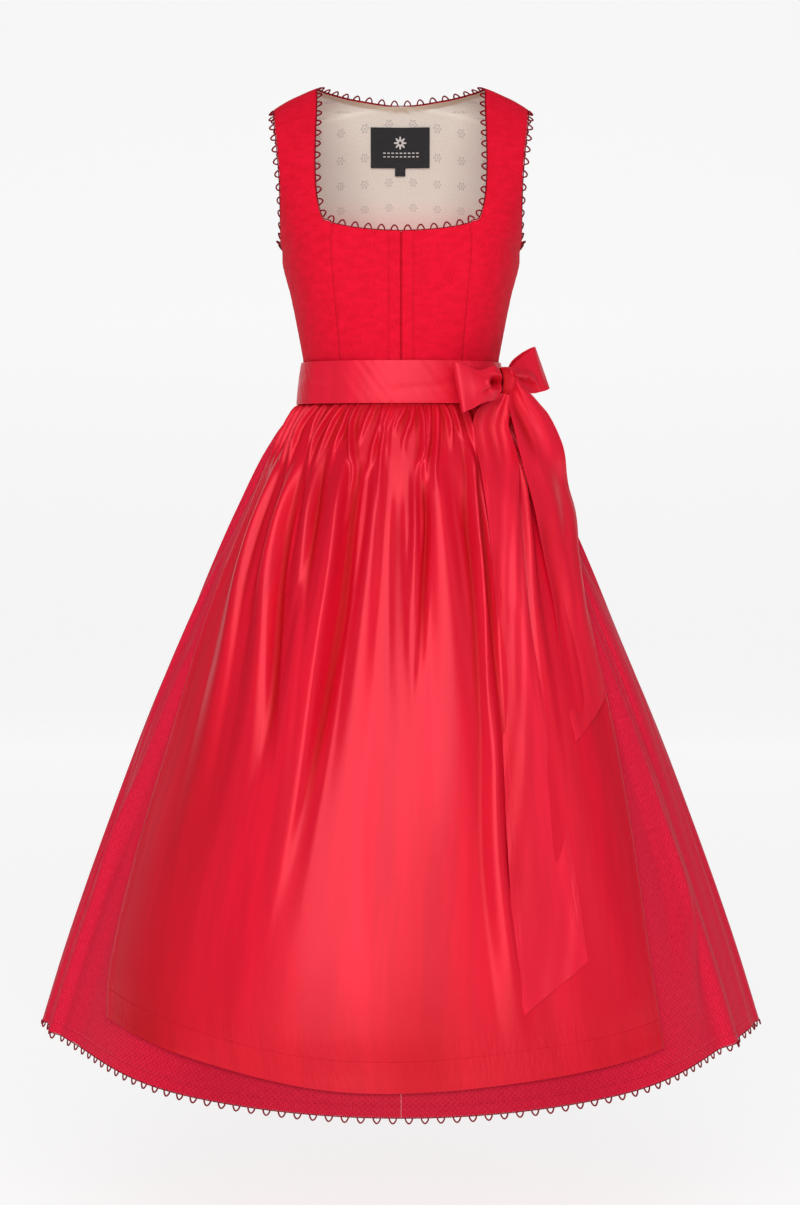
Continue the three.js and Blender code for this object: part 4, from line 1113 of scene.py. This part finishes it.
def add_loop_left():
    """The loop beside the knot, which stands up and away from it, pinched at the knot."""
    top = (
        (127, -58, -347), (134, -46, -334.5), (145, -36, -325), (157, -30, -318),
        (163.5, -30, -316), (162, -38, -318), (153.5, -47, -324), (144, -56, -331),
        (136, -66, -338.5), (131, -76, -344), (130, -80, -348),
    )
    foot = (
        (134, -58, -364), (146, -46, -368), (162, -36, -370), (176, -30, -368),
        (181.5, -32, -366.5), (178, -40, -369), (168, -49, -372), (158, -57, -373.5),
        (149, -66, -368), (142, -76, -361), (139, -80, -358),
    )
    points, share, up, front = loop_net(top, foot, 60)
    heights = (1.1, 0.82, 0.64, 0.52, 0.48, 0.5, 0.6)
    line = np.interp(share, (0.56, 0.6, 0.64, 0.7, 0.8, 0.9, 1.0), heights)
    show = smooth(0.56, 0.68, share) * (1 - smooth(0.92, 1, share))
    roll = 5.5 * bell(up - line + 0.04, 0.13) * show
    under = -4.0 * bell(up - line - 0.13, 0.09) * show
    fuller = 4.5 * front * (1 - smooth(0.85, 1, share))
    belly = np.sin(np.pi * up) * (fuller - 4.0 * (1 - smooth(0.3, 0.42, share)))
    way = unit(np.array((0.2, -1.0, 0.0)))
    points = points + way * (belly + (roll + under) * front)[..., None]
    uv = (share * 150, up * SASH_HEIGHT)
    return cloth("bow_loop_left", points, uv, TIE_SATIN, TIE_WALL, out=from_middle(points))


KNOT = {"x": 129, "y": -65, "z": -361.5, "turn": 18}


def add_knot():
    """The knot: the ribbon wrapped once round the loops' roots, drawn together to the left."""
    turn = math.radians(KNOT["turn"])
    out = np.array((math.cos(turn), math.sin(turn), 0))
    side = np.array((math.sin(turn), -math.cos(turn), 0))
    steps = np.linspace(0, 2 * np.pi, 121), np.linspace(-1, 1, 61)
    round_it, across = np.meshgrid(*steps, indexing="ij")
    cone = smooth(-0.4, 1.1, across)
    soft = 1.1 * bell(across - 0.15 - 0.5 * np.sin(round_it), 0.3)
    soft = soft - 0.5 * np.cos(across * 4 + round_it)
    rounded = 1 - 0.12 * across ** 4
    deep = mix(17.0, 12.5, cone) * rounded + soft
    tall = mix(20.0, 14.5, cone) * rounded + 0.5 * soft
    centre = np.array((KNOT["x"], KNOT["y"], KNOT["z"]))
    lean = -4.5 * np.sin(round_it) * cone
    points = (
        centre
        + out * (across * 11.0 + lean)[..., None]
        + side * (deep * np.cos(round_it))[..., None]
        + np.array((0, 0, 1)) * (tall * np.sin(round_it) + 3.5 * cone)[..., None]
    )
    uv = (round_it * 17, across * 20)
    # Painted shade: the knot is darkened all over, most at its end against the front loop's curl,
    # which shades it.
    layers = {"deep": 0.3 + 0.6 * bell(across + 0.9, 0.5)}
    return cloth("bow_knot", points, uv, TIE_SATIN, TIE_WALL, out=points - centre, layers=layers)


TAIL_COLUMNS = "drop inner outer lift flare"
LONG_TAIL = table(
    TAIL_COLUMNS,
    (22, 44, 60, 15, 0),
    (40, 36, 59, 15, 0),
    (70, 33, 55, 15, 0),
    (104, 30.9, 48.5, 15, 0),
    (140, 29.5, 43, 15, 0),
    (213, 26.9, 37, 14, 0),
    (297, 24.4, 34.3, 12, 0),
    (416, 21.5, 33.6, 11, 0),
    (516, 20, 33.3, 10, 0),
    (641, 19, 32.4, 9, 0),
    (690, 19.7, 32, 9, 0),
)
SHORT_TAIL = table(
    TAIL_COLUMNS,
    (14, 66, 82, 19, 4),
    (48, 60, 90, 19, 22),
    (94, 53, 86, 18, 12),
    (150, 49, 75, 17, 4),
    (195, 46.7, 65, 16, 0),
    (263, 44.1, 57, 14, 0),
    (339, 40.6, 55, 12, 0),
    (406, 39.5, 54, 12, 0),
)
# How much longer a hanging end is at its point, and how wide it is cut.
TAIL_POINT = 48
TAIL_WIDTH = 85
# Where each tail comes out of the knot: its inner and its outer edge, down from its root.
ROOT_COLUMNS = "drop in_x in_y out_x out_y"
LONG_ROOT = table(
    ROOT_COLUMNS,
    (8, 112, -80, 131, -78),
    (16, 103, -84, 131, -78),
    (22, 96, -88, 131, -79),
    (34, 88, -93, 130.5, -80),
    (46, 86, -98, 129, -84),
    (62, 87.5, -104, 133.5, -88),
    (86, 91, -112, 140, -95),
    (130, 100, -126, 150, -107),
)
SHORT_ROOT = table(
    ROOT_COLUMNS,
    (-9, 136, -78, 139.5, -75),
    (0, 132.5, -82, 148, -71),
    (10, 130.5, -86, 158.5, -67),
    (21, 130, -90, 168.5, -63),
    (32, 131.5, -93, 178, -59),
    (54, 136.5, -97, 190, -54),
    (76, 141.5, -101, 198, -52),
    (110, 149.5, -107, 202.5, -56),
    (150, 160, -116, 205, -66),
)


def tail_net(t, u, v, top):
    """A hanging end's drop and angle: u across it and v down it, cut on the slant at its foot."""
    drop = mix(top, t["drop"][-1] - TAIL_POINT * u, v)
    return drop, mix(track(t, "drop", "inner", drop), track(t, "drop", "outer", drop), u)


def add_tail(name, t, root, folds, rows, seed, merge):
    """A hanging end of the tie, which leaves its root over the drops from merge to merge."""
    top = root["drop"][0]
    u, v = spread(rows, 48)
    drop, angle = tail_net(t, u, v ** 1.15, top)
    lift = track(t, "drop", "lift", drop) + track(t, "drop", "flare", drop) * u * u
    lift = lift + 1.5 * np.sin(u * 5 + drop / 70) * smooth(60, 160, drop)
    relief = 0.5 * ripple(u * 2 + drop / 160, seed)
    # Painted shade, laid on in the folds that have a share of it.
    shade = 0 * u
    for rise, at_top, at_foot, width, start, end, dark in folds:
        down = np.clip((drop - start) / (end - start), 0, 1)
        fading = min(60, (end - start) / 2)
        gone = smooth(end - fading, end + fading / 3, drop)
        show = smooth(start - 15, start + 15, drop) * (1 - gone)
        fold = show * hump((u - mix(at_top, at_foot, down)) / width)
        relief = relief + rise * fold
        shade = shade + dark * fold
    hanging = form_at(angle, drop, lift + relief)
    x, y = [
        mix(track(root, "drop", "in_" + k, drop), track(root, "drop", "out_" + k, drop), u)
        for k in "xy"
    ]
    spring = places(x, y - relief, WAIST_Z - drop)
    points = mix(spring, hanging, smooth(*merge, drop)[..., None])
    length = t["drop"][-1] - top
    side = np.minimum(u, 1 - u) * (TAIL_WIDTH / 1000) + 0.002
    layers = {"hem": 1, "side": side, "shade": shade}
    return cloth(name, points, (u * 90, -v * length), TIE_SATIN, TIE_WALL, layers=layers)


# Folds of the hanging ends: height, the share across at their top and foot, half their width,
# the drops where they start and end, and how much painted shade darkens them.
LONG_TAIL_FOLDS = (
    (1.2, 0.22, 0.12, 0.3, 8, 150, 0),
    (-1.5, 0.5, 0.42, 0.2, 8, 110, 0.45),
    (-1.2, 0.8, 0.62, 0.14, 20, 100, 0.4),
    (-1.5, 0.12, 0.06, 0.2, 20, 120, 0.45),
    (1, 0.75, 0.68, 0.3, 8, 130, 0),
    (2, 0.75, 0.8, 0.4, 120, 420, 0),
    (2, 0.3, 0.35, 0.4, 250, 640, 0),
    (-1.5, 0.12, 0.2, 0.35, 180, 600, 0.3),
)
SHORT_TAIL_FOLDS = (
    (-6, 0.2, 0.42, 0.34, -8, 84, 0.2),
    (-2.5, 0.14, 0.34, 0.15, 22, 82, 0.75),
    (4, 0.68, 0.84, 0.34, -8, 100, 0),
    (4, 0.45, 0.5, 0.36, 90, 280, 0),
    (3, 0.85, 0.8, 0.3, 130, 300, 0),
    (-3, 0.2, 0.25, 0.3, 160, 400, 0.4),
)
LONG_END = (LONG_TAIL, LONG_ROOT, LONG_TAIL_FOLDS)
SHORT_END = (SHORT_TAIL, SHORT_ROOT, SHORT_TAIL_FOLDS)


# ---- Braid and stitches ---------------------------------------------------------------------
def new_tree(name, sizes):
    """A geometry tree whose inputs are a geometry, a finish and the named sizes."""
    tree = bpy.data.node_groups.new(name, "GeometryNodeTree")

    def new_input(name, kind):
        return tree.interface.new_socket(name, in_out="INPUT", socket_type="NodeSocket" + kind)

    new_input("Geometry", "Geometry")
    new_input("Finish", "Material")
    for key, value in sizes.items():
        new_input(key, "Float").default_value = value
    tree.interface.new_socket("Geometry", in_out="OUTPUT", socket_type="NodeSocketGeometry")
    return tree, tree.nodes.new("NodeGroupInput"), tree.nodes.new("NodeGroupOutput")


def placed_by(tree, points, instance, turn, given, out):
    """Puts an instance on each point, makes them real and gives them their finish."""
    inputs = {"Points": points, "Instance": instance, "Rotation": turn}
    many = node(tree, "GeometryNodeInstanceOnPoints", inputs)
    real = node(tree, "GeometryNodeRealizeInstances", {0: many.outputs[0]})
    rounded = node(tree, "GeometryNodeSetShadeSmooth", {0: real.outputs[0]})
    inputs = {0: rounded.outputs[0], "Material": given.outputs["Finish"]}
    done = node(tree, "GeometryNodeSetMaterial", inputs)
    tree.links.new(done.outputs[0], out.inputs[0])


def picot_tree():
    """A rounded loop of yarn on every point, standing along its "off" direction."""
    tree, given, out = new_tree("picots", PICOT)
    bends = 16
    line = node(tree, "GeometryNodeMeshLine", {"Count": bends + 1})
    t = Num(tree, node(tree, "GeometryNodeInputIndex").outputs[0]) / float(bends)
    arch = (t * math.pi).sin()
    width = Num(tree, given.outputs["Width"])
    x = (t * math.pi).cos() * width * -0.5
    z = (arch * 0.8 + arch ** 4.0 * 0.2) * Num(tree, given.outputs["Height"])
    place = node(tree, "ShaderNodeCombineXYZ", {0: x, 2: z})
    inputs = {"Geometry": line.outputs[0], "Position": place.outputs[0]}
    shaped = node(tree, "GeometryNodeSetPosition", inputs)
    path = node(tree, "GeometryNodeMeshToCurve", {0: shaped.outputs[0]})
    ring = node(tree, "GeometryNodeCurvePrimitiveCircle", {"Resolution": 6})
    tree.links.new(given.outputs["Cord"], ring.inputs["Radius"])
    inputs = {"Curve": path.outputs[0], "Profile Curve": ring.outputs[0]}
    loop = node(tree, "GeometryNodeCurveToMesh", inputs)
    off, along = [
        node(tree, "GeometryNodeInputNamedAttribute", {"Name": name}, data_type="FLOAT_VECTOR")
        for name in ("off", "along")
    ]
    align = "FunctionNodeAlignRotationToVector"
    up = node(tree, align, {"Vector": off.outputs[0]}, axis="Z")
    inputs = {"Rotation": up.outputs[0], "Vector": along.outputs[0]}
    turn = node(tree, align, inputs, axis="X", pivot_axis="Z")
    placed_by(tree, given.outputs[0], loop.outputs[0], turn.outputs[0], given, out)
    return tree


def stitch_tree():
    """A row of thread stitches along a line: each a small spindle, Every metres apart."""
    tree, given, out = new_tree("stitches", STITCH)
    path = node(tree, "GeometryNodeMeshToCurve", {0: given.outputs[0]})
    points = node(tree, "GeometryNodeCurveToPoints", {0: path.outputs[0]}, mode="LENGTH")
    tree.links.new(given.outputs["Every"], points.inputs["Length"])
    bead = node(tree, "GeometryNodeMeshUVSphere", {"Segments": 6, "Rings": 5, "Radius": 0.5})
    thick, length = given.outputs["Thick"], given.outputs["Length"]
    size = node(tree, "ShaderNodeCombineXYZ", {0: thick, 1: thick, 2: length})
    inputs = {"Geometry": bead.outputs[0], "Scale": size.outputs[0]}
    formed = node(tree, "GeometryNodeTransform", inputs)
    rotation = points.outputs["Rotation"]
    placed_by(tree, points.outputs[0], formed.outputs[0], rotation, given, out)
    return tree


PICOTS = picot_tree()
STITCHES = stitch_tree()


def grown(path, tree, finish, sizes):
    """The plain mesh that a geometry tree makes of a path."""
    modifier = path.modifiers.new("made", "NODES")
    modifier.node_group = tree
    for item in tree.interface.items_tree:
        if item.item_type == "SOCKET" and item.in_out == "INPUT":
            if item.name == "Finish":
                modifier[item.identifier] = finish
            elif item.name in sizes:
                modifier[item.identifier] = sizes[item.name]
    shown = path.evaluated_get(bpy.context.evaluated_depsgraph_get())
    mesh = bpy.data.meshes.new_from_object(shown)
    piece = bpy.data.objects.new(path.name + "_yarn", mesh)
    bpy.context.scene.collection.objects.link(piece)
    bpy.data.objects.remove(path)
    return piece


def stitch_row(name, points):
    """A row of stitches along a line of places, on the cloth that it sews."""
    row = grown(path_mesh(name, points, {}), STITCHES, RED_THREAD, STITCH)
    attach(row, "root")


def edge_line(at, within, start, end, count, thick):
    """An edge's places, in the middle of the cloth's wall, and its directions off the edge."""
    t = np.linspace(start, end, count + 1)
    step = (end - start) * 1e-3
    low, high = min(start, end), max(start, end)
    p = at(t)
    along = unit(at(np.clip(t + step, low, high)) - at(np.clip(t - step, low, high)))
    off = p - within(t)
    off = unit(off - along * (off * along).sum(axis=-1, keepdims=True))
    n = np.cross(off, along)
    n = n * np.where((n * p * (1, 1, 0)).sum(axis=-1, keepdims=True) < 0, -1, 1)
    return p - n * thick / 2, off


def turned(line):
    """An edge line mirrored to the wearer's right, and followed the other way."""
    return [(x * (-1, 1, 1))[::-1] for x in line]


def join_lines(first, *others):
    """Edge lines one after another; each goes on from the place where the last one ends."""
    return [np.concatenate([first[i], *[line[i][1:] for line in others]]) for i in range(2)]


def braid(name, line):
    """Crochet edging: a chain along the edge, and a rounded loop on it at every pitch."""
    p, off = line
    steps = np.linalg.norm(np.diff(p, axis=0), axis=-1)
    keep = np.concatenate([[True], steps > 1e-6])
    p, off = p[keep], off[keep]
    lengths = np.concatenate([[0], np.cumsum(np.linalg.norm(np.diff(p, axis=0), axis=-1))])
    total = lengths[-1]

    def at(values, s):
        return places(*[np.interp(s, lengths, values[:, i]) for i in range(3)])

    count = int(total // (HEM_PICOT_PITCH if name.startswith("hem") else PICOT_PITCH))
    s = (np.arange(count) + 0.5) * total / count
    along = unit(at(p, np.minimum(s + 1.5, total)) - at(p, np.maximum(s - 1.5, 0)))
    off_there = unit(at(off, s))
    off_there = unit(off_there - along * (off_there * along).sum(axis=-1, keepdims=True))
    ways = {"along": along, "off": off_there}
    points = path_mesh(name + "_points", at(p, s) + off_there, ways)
    loops = grown(points, PICOTS, BRAID_YARN, PICOT)
    dense = np.linspace(0.5, total - 0.5, int(total / 2))
    chain_path = path_mesh(name + "_chain", at(p, dense) + unit(at(off, dense)) * 0.75, {})
    chain = grown(chain_path, STITCHES, BRAID_YARN, CHAIN)
    return joined(name + "_yarn", [loops, chain])


def add_braids():
    def panel_edge(t, u, inside, start, end):
        at, within = (lambda s: panel_at(t, u, s)), (lambda s: panel_at(t, inside, s))
        return edge_line(at, within, start, end, int(abs(end - start) * 16), thick=2.0)

    low = edge_line(
        lambda u: panel_at(CENTRE_FRONT, u, NECK_STATION),
        lambda u: panel_at(CENTRE_FRONT, u, NECK_STATION - 1),
        start=0, end=1, count=40, thick=2.0,
    )
    strap = panel_edge(SIDE_FRONT, 0, 0.3, NECK_STATION, STRAP_TOP)
    left_neck = join_lines(low, strap)
    made = {"neck_braid_front": join_lines(turned(left_neck), left_neck)}
    back_neck = panel_edge(BACK, 0, 0.3, BACK_NECK_STATION, BACK_STRAP_TOP)
    made["neck_braid_back"] = join_lines(turned(back_neck), back_neck)
    armhole = join_lines(
        panel_edge(SIDE_FRONT, 1, 0.7, ARMHOLE_STATION, STRAP_TOP),
        panel_edge(BACK, 1, 0.7, BACK_STRAP_TOP, ARMHOLE_STATION),
        edge_line(
            lambda u: panel_at(SIDE_BACK, u, ARMHOLE_STATION),
            lambda u: panel_at(SIDE_BACK, u, ARMHOLE_STATION - 0.4),
            start=0, end=1, count=30, thick=2.0,
        ),
    )
    made["armhole_braid_left"] = armhole
    made["armhole_braid_right"] = turned(armhole)

    def hem_at(angle, drop=HEM_DROP):
        angle = np.where(angle > 180, angle - 360, angle)
        return form_at(angle, drop, skirt_relief(angle, drop))

    def above_hem(angle):
        return hem_at(angle, HEM_DROP - 20)

    made["hem_braid_front"] = edge_line(hem_at, above_hem, -90, 90, 360, thick=1.0)
    made["hem_braid_back"] = edge_line(hem_at, above_hem, 90, 270, 360, thick=1.0)
    return [braid(name, line) for name, line in made.items()]


# ---- Light and floor ------------------------------------------------------------------------
def area_light(name, place, aim, size, power):
    data = bpy.data.lights.new(name, "AREA")
    data.shape = "RECTANGLE"
    data.size, data.size_y = size
    data.energy = power
    light = bpy.data.objects.new(name, data)
    light.location = place
    light.rotation_euler = (Vector(aim) - Vector(place)).to_track_quat("-Z", "Y").to_euler()
    bpy.context.scene.collection.objects.link(light)


def add_studio():
    """A pale floor that curves up into a wall, and large soft lights."""
    floor_z, wall_y, bend = -1420.0, 6600.0, 1500.0
    turn = np.linspace(0, np.pi / 2, 24)
    y = np.concatenate([[-2600, -1500], wall_y - bend + bend * np.sin(turn), [wall_y]])
    z = np.concatenate([[floor_z, floor_z], floor_z + bend - bend * np.cos(turn), [4600]])
    x = np.array([-7000.0, 7000.0])
    points = places(x[None, :], y[:, None], z[:, None])
    material, _, shader = finish("pale floor", Roughness=0.9)
    shader.inputs["Base Color"].default_value = (0.25, 0.25, 0.25, 1)
    shader.inputs["Emission Color"].default_value = (1, 1, 1, 1)
    shader.inputs["Emission Strength"].default_value = 0.78
    flat = 0 * points[..., 0]
    cloth("floor", points, (flat, flat), material, None, out=0 * points + (0, 0, -1))
    world = bpy.data.worlds.new("studio")
    bpy.context.scene.world = world
    world.use_nodes = True
    sky = world.node_tree.nodes["Background"]
    sky.inputs["Color"].default_value = (0.9, 0.9, 0.9, 1)
    sky.inputs["Strength"].default_value = 0.15
    area_light("front", (-0.2, -4.4, 1.3), (0, 0, -0.55), (3.8, 5.4), power=238)
    area_light("left", (-3.4, -1.4, 0.4), (0, 0, -0.6), (1.4, 2.6), power=4)
    area_light("right", (3.2, -2.0, 0.5), (0, 0, -0.6), (1.4, 2.6), power=10)
    bpy.context.scene.view_settings.view_transform = "Standard"


def stand_for(piece):
    """The piece rides on the body and stands for the node that it is named after."""
    node_name = piece.name.rsplit("_", 1)[0]
    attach(piece, "root")
    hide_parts(node_name)


def add_garment():
    pieces = bodice_panel("centre_front", CENTRE_FRONT, NECK_STATION, (False, True), closure=True)
    pieces += bodice_panel("side_front", SIDE_FRONT, STRAP_TOP, (True, True))
    pieces += bodice_panel("side_back", SIDE_BACK, ARMHOLE_STATION, (True, True), columns=36)
    for piece in pieces + [back_panel()]:
        stand_for(piece)
    stand_for(back_lining())
    label_finish = woven_label("woven label", LABEL["width"], LABEL["height"])
    stand_for(patch("label", LABEL, label_finish))
    tab_finish = woven_label("woven tab", SIZE_TAB["width"], SIZE_TAB["height"], marked=0.0)
    stand_for(patch("size_tab", SIZE_TAB, tab_finish))
    for piece in add_skirt():
        stand_for(piece)
    stand_for(add_apron())
    join = SASH_JOINS + 0.02
    for piece in (
        add_band("apron_band", -SASH_JOINS, SASH_JOINS, 160, BAND_CREASES),
        add_band("sash_back", join, 360 - join, 130, BACK_CREASES),
        add_knot(),
        add_loop_right(),
        add_loop_left(),
        add_tail("bow_tail_long", *LONG_END, rows=190, seed=61, merge=(50, 120)),
        add_tail("bow_tail_short", *SHORT_END, rows=150, seed=62, merge=(80, 150)),
    ):
        stand_for(piece)
    for piece in add_braids():
        stand_for(piece)


add_garment()
add_studio()
